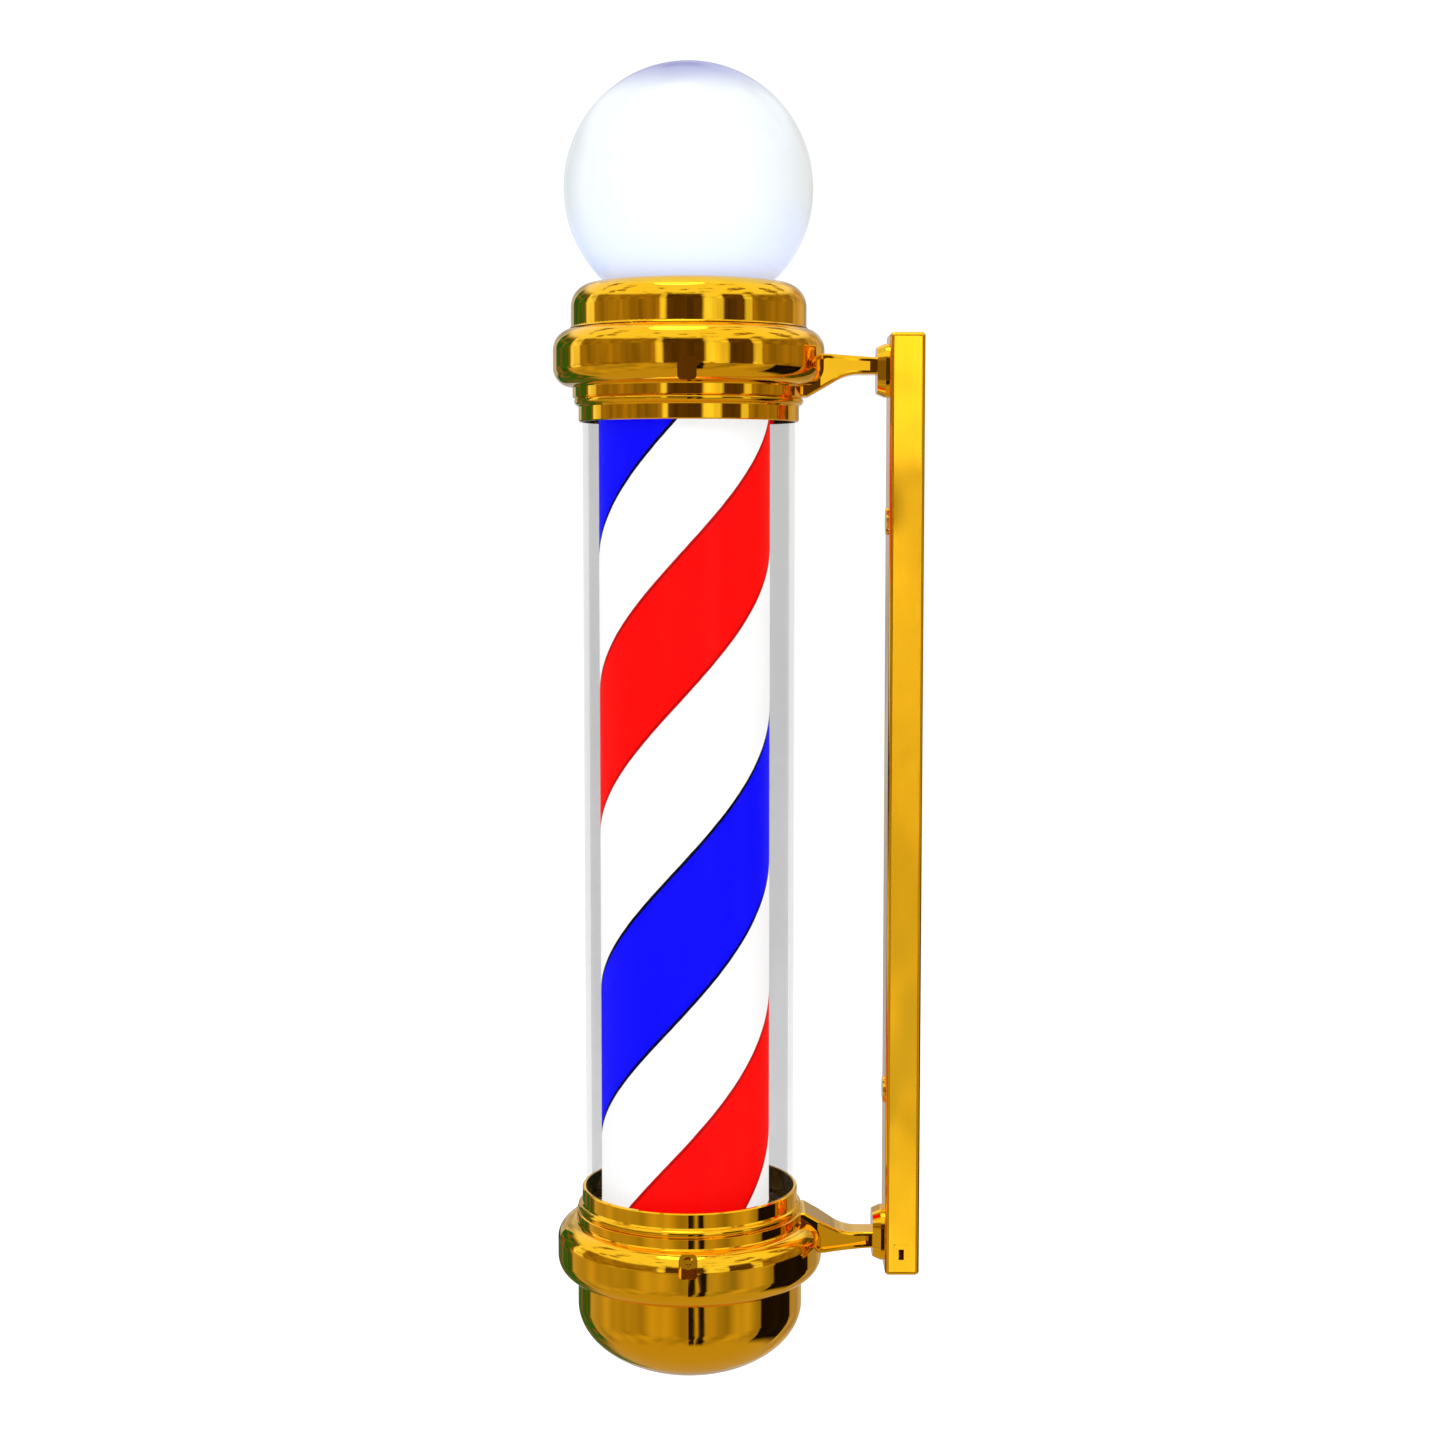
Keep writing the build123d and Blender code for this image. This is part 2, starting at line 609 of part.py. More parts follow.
def core_face(quarter):
    """A plane on one face of the LED core, x up the pole."""
    angle = quarter * pi / 2
    out = Vector(cos(angle), sin(angle), 0)
    return Plane(origin=Vector(0, ROTOR_Y, 0) + out * CORE / 2, x_dir=(0, 0, 1), z_dir=out)


STRIP_HALF = 190.0
STRIP_W = 10.0
CHIPS_PER_STRIP = 12
with BuildPart() as led_strips:
    for quarter in range(4):
        with BuildSketch(core_face(quarter)):
            Rectangle(2 * STRIP_HALF, STRIP_W)
        extrude(amount=STRIP_T)
save(led_strips, "led_strips")

with BuildPart() as led_chips:
    for quarter in range(4):
        with BuildSketch(core_face(quarter).offset(STRIP_T)):
            with GridLocations(30, 1, CHIPS_PER_STRIP, 1):
                Rectangle(5, 5)
        extrude(amount=CHIP_T)
save(led_chips, "led_chips")


# ---------------------------------------------------------------- rotor
HUB_R = 12.0
DISC_T = 2.5
RIM_R = ROTOR_R - SLEEVE_WALL - 0.05
RIM_IN_R = RIM_R - 2
RIM_END_Z = SLEEVE_HALF - 11
with BuildPart() as rotor_gear:
    with BuildSketch(level(GEAR_LOW_Z, ROTOR_Y)):
        with BuildLine():
            Polyline(*gear_points(GEAR_TEETH, -pi / 2), close=True)
        make_face()
    extrude(amount=GEAR_TOP_Z - GEAR_LOW_Z)
    with BuildSketch(profile_plane(ROTOR_Y)):
        with BuildLine():
            Polyline(
                (0, GEAR_TOP_Z), (ROTOR_R, GEAR_TOP_Z), (ROTOR_R, -SLEEVE_HALF), (RIM_R, -SLEEVE_HALF),
                (RIM_R, -RIM_END_Z), (RIM_IN_R, -RIM_END_Z), (RIM_IN_R, GEAR_TOP_Z + DISC_T),
                (HUB_R, GEAR_TOP_Z + DISC_T), (HUB_R, -BUSH_END_Z - 0.3), (0, -BUSH_END_Z - 0.3),
                (0, GEAR_TOP_Z),
            )
        make_face()
    revolve(axis=centre_line(ROTOR_Y))
    with Locations((0, ROTOR_Y, GEAR_LOW_Z)):
        Cylinder(BUSH_R + RUNNING_FIT, 20, align=BASE, mode=Mode.SUBTRACT)
        with PolarLocations(34.5, 6, start_angle=30):
            Cylinder(5, 20, align=BASE, mode=Mode.SUBTRACT)
        with PolarLocations(19, 6, start_angle=0):
            Cylinder(3.5, 20, align=BASE, mode=Mode.SUBTRACT)
save(rotor_gear, "rotor_gear")

with BuildPart() as striped_sleeve:
    with BuildSketch(level(-SLEEVE_HALF, ROTOR_Y)):
        Circle(ROTOR_R)
        Circle(ROTOR_R - SLEEVE_WALL, mode=Mode.SUBTRACT)
    extrude(amount=2 * SLEEVE_HALF)
save(striped_sleeve, "striped_sleeve")

SPOKES = 5
with BuildPart() as rotor_spider:
    with BuildSketch(level(RIM_END_Z, ROTOR_Y)):
        Circle(RIM_R)
        Circle(RIM_IN_R, mode=Mode.SUBTRACT)
    extrude(amount=SLEEVE_HALF + 1.2 - RIM_END_Z)
    with BuildSketch(level(SLEEVE_HALF + 0.05, ROTOR_Y)):
        Circle(ROTOR_R)
        Circle(RIM_IN_R, mode=Mode.SUBTRACT)
    extrude(amount=1.15)
    with BuildSketch(level(SLEEVE_HALF - 2, ROTOR_Y)) as wheel:
        Circle(HUB_R)
        with PolarLocations(RIM_R / 2, SPOKES, start_angle=90):
            Rectangle(RIM_R - 1, 6)
    extrude(amount=3.2)
    with BuildSketch(level(BUSH_END_Z + 0.3, ROTOR_Y)):
        Circle(HUB_R)
    extrude(amount=12)
    with Locations((0, ROTOR_Y, BUSH_END_Z - 1)):
        Cylinder(BUSH_R + RUNNING_FIT, 20, align=BASE, mode=Mode.SUBTRACT)
save(rotor_spider, "rotor_spider")


# ---------------------------------------------------------------- gear motor
GEARBOX_TOP_Z = -(PLATE_Z + PLATE_T)
SHAFT_SEAT = 10.0        # how far the shaft reaches into the gearbox
BOSS_R = 6.0
BOSS_H = 2.4
PINION_LOW_Z = GEARBOX_TOP_Z + BOSS_H + 0.6
PINION_H = 7.0
with BuildPart() as motor_gearbox:
    with BuildSketch(level(GEARBOX_TOP_Z, MOTOR_Y)):
        Circle(GEARBOX_R)
    extrude(amount=-GEARBOX_H)
    fillet(motor_gearbox.edges().filter_by(GeomType.CIRCLE).sort_by(Axis.Z)[0], 0.8)
    with BuildSketch(level(GEARBOX_TOP_Z, PINION_Y)):
        Circle(BOSS_R)
    extrude(amount=BOSS_H)
    with Locations((0, PINION_Y, GEARBOX_TOP_Z + BOSS_H)):
        Cylinder(SHAFT_R + RUNNING_FIT, BOSS_H + SHAFT_SEAT + 0.3, align=HANG, mode=Mode.SUBTRACT)
    with Locations((-MOTOR_SCREW_X, MOTOR_Y, GEARBOX_TOP_Z), (MOTOR_SCREW_X, MOTOR_Y, GEARBOX_TOP_Z)):
        Cylinder(1.5, 6, align=HANG, mode=Mode.SUBTRACT)
save(motor_gearbox, "motor_gearbox")

with BuildPart() as motor_can:
    with BuildSketch(level(GEARBOX_TOP_Z - GEARBOX_H, MOTOR_Y)):
        Circle(CAN_R)
    extrude(amount=-CAN_H)
    fillet(motor_can.edges().filter_by(GeomType.CIRCLE).sort_by(Axis.Z)[0], 2)
    with BuildSketch(level(GEARBOX_TOP_Z - GEARBOX_H - CAN_H, MOTOR_Y)):
        Circle(5)
    extrude(amount=-1.5)
save(motor_can, "motor_can")

with BuildPart() as motor_screws:
    for x in (-MOTOR_SCREW_X, MOTOR_SCREW_X):
        screw(Plane(origin=(x, MOTOR_Y, -PLATE_Z)), 2.4, 1.5, 1.45, PLATE_T + 5)
save(motor_screws, "motor_screws")

with BuildPart() as motor_shaft:
    shaft_low_z = GEARBOX_TOP_Z - SHAFT_SEAT
    with Locations((0, PINION_Y, shaft_low_z)):
        Cylinder(SHAFT_R, PINION_LOW_Z + PINION_H - shaft_low_z, align=BASE)
    with Locations((SHAFT_R - 0.5, PINION_Y, PINION_LOW_Z)):
        Box(2, 8, 20, align=(Align.MIN, Align.CENTER, Align.MIN), mode=Mode.SUBTRACT)
save(motor_shaft, "motor_shaft")

with BuildPart() as drive_pinion:
    with BuildSketch(level(PINION_LOW_Z, PINION_Y)):
        with BuildLine():
            Polyline(*gear_points(PINION_TEETH, -pi / 2), close=True)
        make_face()
    extrude(amount=PINION_H)
    with BuildSketch(level(PINION_LOW_Z, PINION_Y)) as shaft_hole:
        Circle(SHAFT_R + 0.02)
        with Locations((SHAFT_R - 0.48, 0)):
            Rectangle(2, 8, align=(Align.MIN, Align.CENTER), mode=Mode.SUBTRACT)
    extrude(amount=PINION_H, mode=Mode.SUBTRACT)
save(drive_pinion, "drive_pinion")


# ---------------------------------------------------------------- LED driver
DRIVER_LEAD_Z = DRIVER_TOP_Z - 15.6
with BuildPart() as led_driver:
    with BuildSketch(level(DRIVER_TOP_Z, DRIVER_Y)) as driver_outline:
        Rectangle(DRIVER_W, DRIVER_D)
        fillet(driver_outline.vertices(), 2.5)
    extrude(amount=-DRIVER_H)
    fillet(led_driver.faces().sort_by(Axis.Z)[0].edges(), 1.2)
    with BuildSketch(level(DRIVER_TOP_Z, DRIVER_Y)):
        with Locations((-DRIVER_EAR_X + 1.5, 0), (DRIVER_EAR_X - 1.5, 0)):
            Rectangle(11, 10)
    extrude(amount=-2)
    with Locations((-DRIVER_EAR_X, DRIVER_Y, DRIVER_TOP_Z), (DRIVER_EAR_X, DRIVER_Y, DRIVER_TOP_Z)):
        Cylinder(1.7, 2, align=HANG, mode=Mode.SUBTRACT)
save(led_driver, "led_driver")

with BuildPart() as driver_screws:
    for x in (-DRIVER_EAR_X, DRIVER_EAR_X):
        seat = Plane(origin=(x, DRIVER_Y, DRIVER_TOP_Z - 2), x_dir=(1, 0, 0), z_dir=(0, 0, -1))
        screw(seat, 2.5, 1.7, 1.2, 2 + PLATE_T)
save(driver_screws, "driver_screws")


# ---------------------------------------------------------------- wall bracket
FRONT = Plane(origin=(0, -BAR_D, 0), x_dir=(1, 0, 0), z_dir=(0, -1, 0))   # the bar's face towards the pole
with BuildPart() as bracket_bar:
    with BuildSketch(Plane(origin=(0, -BAR_D / 2, -BAR_HALF + CAP_T))) as bar_section:
        Rectangle(BAR_W, BAR_D)
        fillet(bar_section.vertices(), 2)
        with BuildSketch(mode=Mode.SUBTRACT) as bar_hollow:
            Rectangle(BAR_W - 2 * BAR_WALL, BAR_D - 2 * BAR_WALL)
            fillet(bar_hollow.vertices(), 0.6)
    extrude(amount=2 * (BAR_HALF - CAP_T))
    for side in (-1, 1):
        # wall screw hole in the back and access hole in the front
        with BuildSketch(Plane.XZ):
            with Locations((0, side * WALL_HOLE_Z)):
                Circle(WALL_HOLE_R)
        extrude(amount=BAR_WALL, mode=Mode.SUBTRACT)
        with BuildSketch(FRONT):
            with Locations((0, side * WALL_HOLE_Z)):
                Circle(ACCESS_R + 0.1)
            with Locations((-FOOT_SCREW_X, side * FOOT_Z), (FOOT_SCREW_X, side * FOOT_Z)):
                Circle(FOOT_SCREW_R + 0.1)
        extrude(amount=-BAR_WALL, mode=Mode.SUBTRACT)
        # screwdriver holes in the back, behind the foot screws
        with BuildSketch(Plane.XZ):
            with Locations((-FOOT_SCREW_X, side * FOOT_Z), (FOOT_SCREW_X, side * FOOT_Z)):
                Circle(4.5)
        extrude(amount=BAR_WALL, mode=Mode.SUBTRACT)
    with BuildSketch(FRONT):
        with Locations((0, -ARM_NECK_Z)):
            Circle(WIREWAY_R)
    extrude(amount=-BAR_WALL, mode=Mode.SUBTRACT)
    # cable outlet in the side
    with Locations((BAR_W / 2, OUTLET_Y, OUTLET_Z)):
        Box(2 * BAR_WALL + 0.4, 5.6, 8.4, mode=Mode.SUBTRACT)
save(bracket_bar, "bracket_bar")


def end_cap(side):
    """A cap on one end of the bar with a plug inside it. side is 1 at the top."""
    with BuildPart() as cap:
        with BuildSketch(Plane(origin=(0, -BAR_D / 2, side * (BAR_HALF - CAP_T)))) as cap_outline:
            Rectangle(BAR_W, BAR_D)
            fillet(cap_outline.vertices(), 2)
        extrude(amount=side * CAP_T)
        outer = cap.faces().filter_by(Plane.XY).sort_by(Axis.Z)[-1 if side > 0 else 0]
        fillet(outer.edges(), 2.2)
        with BuildSketch(Plane(origin=(0, -BAR_D / 2, side * (BAR_HALF - CAP_T)))) as plug_outline:
            Rectangle(BAR_W - 2 * BAR_WALL - 0.2, BAR_D - 2 * BAR_WALL - 0.2)
            fillet(plug_outline.vertices(), 1)
            Rectangle(BAR_W - 2 * BAR_WALL - 4.2, BAR_D - 2 * BAR_WALL - 4.2, mode=Mode.SUBTRACT)
        extrude(amount=-side * PLUG_H)
    return cap


save(end_cap(1), "bar_cap_top")
save(end_cap(-1), "bar_cap_bottom")

with BuildPart() as screw_plugs:
    for side in (-1, 1):
        plug_plane = Plane(origin=(0, -BAR_D, side * WALL_HOLE_Z), x_dir=(1, 0, 0), z_dir=(0, -1, 0))
        with BuildSketch(plug_plane):
            Circle(ACCESS_R + 1.2)
        extrude(amount=1, taper=20)
        with BuildSketch(plug_plane):
            Circle(ACCESS_R)
            Circle(ACCESS_R - 1.2, mode=Mode.SUBTRACT)
        extrude(amount=-5)
save(screw_plugs, "screw_plugs")

with BuildPart() as cable_grommet:
    side_face = Plane(origin=(BAR_W / 2, OUTLET_Y, OUTLET_Z), x_dir=(0, 1, 0), z_dir=(1, 0, 0))
    with BuildSketch(side_face) as grommet_lip:
        Rectangle(7.8, 10.4)
        fillet(grommet_lip.vertices(), 0.8)
    extrude(amount=0.7)
    with BuildSketch(side_face):
        Rectangle(5.4, 8.2)
    extrude(amount=-BAR_WALL - 1)
    with BuildSketch(side_face.offset(1)) as grommet_slot:
        Rectangle(2.8, 5.6)
    extrude(amount=-BAR_WALL - 3, mode=Mode.SUBTRACT)
save(cable_grommet, "cable_grommet")

BACKING_T = 3.0
BACKING_W = BAR_W - 2 * BAR_WALL - 2
BACKING_Y = -BAR_D + BAR_WALL       # face of a backing plate that lies on the inside of the front wall
with BuildPart() as backing_plates:
    for side in (-1, 1):
        backing_plane = Plane(origin=(0, BACKING_Y, side * FOOT_Z), x_dir=(1, 0, 0), z_dir=(0, 1, 0))
        with BuildSketch(backing_plane) as backing_outline:
            Rectangle(BACKING_W, 22)
            fillet(backing_outline.vertices(), 2)
            with Locations((-FOOT_SCREW_X, 0), (FOOT_SCREW_X, 0)):
                Circle(FOOT_SCREW_R + 0.1, mode=Mode.SUBTRACT)
            with Locations((0, side * (FOOT_Z - ARM_NECK_Z))):
                Circle(WIREWAY_R, mode=Mode.SUBTRACT)
        extrude(amount=BACKING_T)
save(backing_plates, "backing_plates")

TERMINAL_Z = -197.0
TERMINAL_H = 22.0
with BuildPart() as terminal_block:
    with BuildSketch(Plane(origin=(0, -BAR_D / 2 + 0.6, TERMINAL_Z - TERMINAL_H / 2))):
        Rectangle(20, 10.6)
    extrude(amount=TERMINAL_H)
    with BuildSketch(Plane(origin=(0, -BAR_D / 2 + 0.6 - 5.3, TERMINAL_Z), x_dir=(1, 0, 0), z_dir=(0, -1, 0))):
        with GridLocations(6.5, 12, 3, 2):
            Circle(1.8)
    extrude(amount=-4, mode=Mode.SUBTRACT)
save(terminal_block, "terminal_block")


# ---------------------------------------------------------------- arms
RIB = 1.9                # width of the ribs above and below an arm's recess
RECESS_LEAN = 12.0       # degrees, as the recess's floor follows the arm's side towards the root
NECK_LOW_Z = ARM_NECK_Z - ARM_NECK_H / 2
NECK_HIGH_Z = ARM_NECK_Z + ARM_NECK_H / 2
lean = RECESS_LEAN * pi / 180
with BuildPart() as arm_recess:
    floor_out = Vector(cos(lean), sin(lean), 0)
    recess_floor = Plane(origin=(5.6, -30, 0), x_dir=(-sin(lean), cos(lean), 0), z_dir=floor_out)
    with BuildSketch(recess_floor) as recess_outline:
        with BuildLine():
            Polyline((3.2, NECK_LOW_Z + RIB), (3.2, NECK_HIGH_Z - RIB), (-21, NECK_HIGH_Z + 1.6 - RIB))
            Polyline((-21, NECK_HIGH_Z + 1.6 - RIB), (-24.5, NECK_HIGH_Z - 1.5), (-24.5, 219))
            Line((-24.5, 219), (-16.5, 221.6 + RIB))
            ThreePointArc((-16.5, 221.6 + RIB), (-11, 224.4 + RIB), (-4.5, NECK_LOW_Z + RIB))
            Line((-4.5, NECK_LOW_Z + RIB), (3.2, NECK_LOW_Z + RIB))
        make_face()
    extrude(amount=9)


def make_arm(wired):
    """A die-cast arm as it stands at the top: an oval foot, a waisted neck and a root that hugs the collar."""
    low = NECK_LOW_Z
    high = NECK_HIGH_Z
    bottom = FOOT_Z - FOOT_H / 2
    half_root = ARM_ROOT_W / 2
    half_neck = ARM_NECK_W / 2
    inside_y = AXIS_Y + 53
    with BuildPart() as arm:
        with BuildSketch(Plane.YZ):
            with BuildLine():
                Polyline(
                    (-19, high), (-49, high + 2), (inside_y, high + 2), (inside_y, bottom), (-60, bottom),
                    (-46, 221.6),
                )
                ThreePointArc((-46, 221.6), (-40.6, 224.2), (-34, low))
                Polyline((-34, low), (-19, low), (-19, high))
            make_face()
        extrude(amount=half_root, both=True)
        with BuildSketch(Plane.XY.offset(bottom - 1)):
            with BuildLine():
                for side in (-1, 1):
                    Line((side * half_root, inside_y), (side * half_root, -53))
                    ThreePointArc(
                        (side * half_root, -53), (side * (half_neck + 1.7), -42), (side * half_neck, -29),
                    )
                    Line((side * half_neck, -29), (side * half_neck, -19))
                Line((-half_neck, -19), (half_neck, -19))
                Line((-half_root, inside_y), (half_root, inside_y))
            make_face()
        extrude(amount=2 * FOOT_H, mode=Mode.INTERSECT)
        middle = arm.edges().filter_by(lambda e: inside_y + 1 < e.center().Y < -20)
        long_edges = middle.filter_by(lambda e: abs(e.tangent_at(0.5).X) < 0.9)
        fillet(long_edges.filter_by(lambda e: abs(e.tangent_at(0.5).Z) < 0.9), 1.3)
        add(arm_recess.part, mode=Mode.SUBTRACT)
        mirror(arm_recess.part, about=Plane.YZ, mode=Mode.SUBTRACT)
        # foot
        foot_plane = Plane(origin=(0, -BAR_D, FOOT_Z), x_dir=(1, 0, 0), z_dir=(0, -1, 0))
        for lift, height, taper in ((0, 2, 0), (2, FOOT_T - 2, 24)):
            with BuildSketch(foot_plane.offset(lift)) as foot:
                Rectangle(ARM_ROOT_W, FOOT_H)
                fillet(foot.vertices(), 9)
            extrude(foot.sketch, amount=height, taper=taper)
        # what the collar takes up, then the holes
        add(collar_envelope.part, mode=Mode.SUBTRACT)
        for side in (-1, 1):
            with Locations(Location((side * ROOT_SCREW_X, AXIS_Y + 60, ARM_NECK_Z), (-90, 0, 0))):
                Cylinder(ROOT_SCREW_R, 18, align=BASE, mode=Mode.SUBTRACT)
            with Locations(Location((side * FOOT_SCREW_X, -BAR_D, FOOT_Z), (90, 0, 0))):
                Cylinder(FOOT_SCREW_R, FOOT_T - 0.8, align=BASE, mode=Mode.SUBTRACT)
        if wired:
            with Locations(Location((0, -BAR_D, ARM_NECK_Z), (90, 0, 0))):
                Cylinder(WIREWAY_R, 50, align=BASE, mode=Mode.SUBTRACT)
    return arm


upper_arm = make_arm(wired=False)
save(upper_arm, "upper_arm")

wired_arm = make_arm(wired=True)
with BuildPart() as lower_arm:
    mirror(wired_arm.part, about=Plane.XY)
save(lower_arm, "lower_arm")

SADDLE_LOW = 222.5
SADDLE_H = 11.0
with BuildPart() as arm_saddles:
    for low in (SADDLE_LOW, -SADDLE_LOW - SADDLE_H):
        with BuildSketch(level(low)):
            Circle(BORE_R - 0.02)
            with Locations((0, SADDLE_FACE_R)):
                Rectangle(24, 10, align=(Align.CENTER, Align.MIN), mode=Mode.INTERSECT)
        extrude(amount=SADDLE_H)
    for side in (-1, 1):
        for x, radius in ((-ROOT_SCREW_X, ROOT_SCREW_R), (0, WIREWAY_R), (ROOT_SCREW_X, ROOT_SCREW_R)):
            with Locations(Location((x, AXIS_Y + 50, side * ARM_NECK_Z), (-90, 0, 0))):
                Cylinder(radius + 0.1, 10, align=BASE, mode=Mode.SUBTRACT)
save(arm_saddles, "arm_saddles")

with BuildPart() as arm_root_screws:
    for side in (-1, 1):
        for x in (-ROOT_SCREW_X, ROOT_SCREW_X):
            seat_origin = (x, AXIS_Y + SADDLE_FACE_R, side * ARM_NECK_Z)
            seat = Plane(origin=seat_origin, x_dir=(1, 0, 0), z_dir=(0, -1, 0))
            screw(seat, 2.6, 1.9, ROOT_SCREW_R - 0.05, 24)
save(arm_root_screws, "arm_root_screws")

with BuildPart() as arm_foot_screws:
    for side in (-1, 1):
        for x in (-FOOT_SCREW_X, FOOT_SCREW_X):
            seat_origin = (x, BACKING_Y + BACKING_T, side * FOOT_Z)
            screw(Plane(origin=seat_origin, x_dir=(1, 0, 0), z_dir=(0, 1, 0)), 3.4, 2.4, FOOT_SCREW_R - 0.05, 9)
save(arm_foot_screws, "arm_foot_screws")


# ---------------------------------------------------------------- leads, held inside all the way
def lead(points, radii, radius):
    """A flexible lead: straight runs between the points, joined by tangent arcs."""
    start = Vector(*points[0])
    with BuildPart() as tube:
        with BuildLine() as route:
            FilletPolyline(*points, radius=radii)
        with BuildSketch(Plane(origin=start, z_dir=Vector(*points[1]) - start)) as section:
            Circle(radius)
        sweep(section.sketch, path=route.wires()[0])
    return tube


BLOCK_Y = -BAR_D / 2 + 0.6
DRIVER_BACK_Y = DRIVER_Y + DRIVER_D / 2
DRIVER_FRONT_Y = DRIVER_Y - DRIVER_D / 2
CAN_BOTTOM_Z = GEARBOX_TOP_Z - GEARBOX_H - CAN_H
supply_lead = lead(
    [
        (0, BLOCK_Y, TERMINAL_Z - TERMINAL_H / 2), (0, BLOCK_Y, -ARM_NECK_Z), (0, -71, -ARM_NECK_Z),
        (0, -77, DRIVER_LEAD_Z), (0, DRIVER_BACK_Y, DRIVER_LEAD_Z),
    ],
    [5.5, 5, 5], 1.8,
)
save(supply_lead, "supply_lead")

motor_lead = lead(
    [
        (18, -100, DRIVER_TOP_Z - DRIVER_H), (18, -100, -258), (14, -122, -275), (8, -141, -277),
        (8, -150, -274), (8, -150, CAN_BOTTOM_Z),
    ],
    [7, 8, 8, 3], 1.3,
)
save(motor_lead, "motor_lead")

lamp_lead = lead(
    [(0, DRIVER_FRONT_Y, -241), (0, ROTOR_Y, -241), (0, ROTOR_Y, HOLDER_Z + 4)],
    [7], 1.5,
)
save(lamp_lead, "lamp_lead")

strip_lead = lead(
    [
        (CORE / 2 + 0.8, ROTOR_Y, STRIP_HALF), (CORE / 2 + 0.8, ROTOR_Y, STRIP_HOLE_Z),
        (1.6, ROTOR_Y, STRIP_HOLE_Z),
    ],
    [2], 0.7,
)
save(strip_lead, "strip_lead")
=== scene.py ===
"""Barber pole light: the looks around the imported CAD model.

Everything is in metres in the CAD frame: +Z up, +Y into the wall,
and the pole in front of the wall at negative Y.
"""
from math import acos, cos, degrees, pi, radians, sin, tan

import bmesh
import bpy
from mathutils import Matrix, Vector


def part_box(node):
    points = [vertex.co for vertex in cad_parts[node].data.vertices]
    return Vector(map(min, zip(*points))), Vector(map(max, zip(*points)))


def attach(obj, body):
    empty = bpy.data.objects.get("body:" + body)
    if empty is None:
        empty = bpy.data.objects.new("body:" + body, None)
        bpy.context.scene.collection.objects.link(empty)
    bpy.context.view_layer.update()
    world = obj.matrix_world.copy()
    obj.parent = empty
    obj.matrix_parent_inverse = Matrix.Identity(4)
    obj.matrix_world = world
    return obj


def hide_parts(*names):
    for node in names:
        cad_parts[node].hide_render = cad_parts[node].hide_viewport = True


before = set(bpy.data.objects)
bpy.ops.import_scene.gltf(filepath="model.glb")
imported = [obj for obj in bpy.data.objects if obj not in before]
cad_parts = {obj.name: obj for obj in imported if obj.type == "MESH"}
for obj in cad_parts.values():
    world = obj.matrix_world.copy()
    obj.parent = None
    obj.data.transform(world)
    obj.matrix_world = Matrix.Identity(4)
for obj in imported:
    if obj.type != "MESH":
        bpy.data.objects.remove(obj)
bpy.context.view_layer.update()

MM = 0.001


def centre_of(node):
    """The vertical centre line of a turned CAD node, and its outer radius."""
    low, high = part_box(node)
    return Vector(((low.x + high.x) / 2, (low.y + high.y) / 2, 0)), (high.x - low.x) / 2


POLE, TUBE_R = centre_of("clear_tube")
ROTOR, SLEEVE_R = centre_of("striped_sleeve")
GLOBE_CENTRE, GLOBE_R = centre_of("globe")
TUBE_LOW_Z, TUBE_HIGH_Z = (corner.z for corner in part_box("clear_tube"))
SLEEVE_LOW_Z, SLEEVE_HIGH_Z = (corner.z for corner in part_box("striped_sleeve"))
NECK_Z, GLOBE_TOP_Z = (corner.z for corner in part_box("globe"))
GLOBE_CENTRE.z = GLOBE_TOP_Z - GLOBE_R
OBJECT_LOW_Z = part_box("lower_bowl")[0].z

# ---------------------------------------------------------------- camera
CAMERA_DISTANCE = 1.276
CAMERA_Y = POLE.y + 17.4 * MM
CAMERA_Z = 0.161
CAMERA_PITCH = radians(5.19)
CAMERA_LENS = 61.04               # millimetres, as is the sensor's width
CAMERA_SENSOR = 36


def make_camera():
    data = bpy.data.cameras.new("camera")
    data.sensor_width = CAMERA_SENSOR
    data.lens = CAMERA_LENS
    camera = bpy.data.objects.new("camera", data)
    bpy.context.scene.collection.objects.link(camera)
    camera.location = (CAMERA_DISTANCE, CAMERA_Y, CAMERA_Z)
    look = Vector((-cos(CAMERA_PITCH), 0, -sin(CAMERA_PITCH)))
    camera.rotation_euler = look.to_track_quat("-Z", "Y").to_euler()
    bpy.context.scene.camera = camera


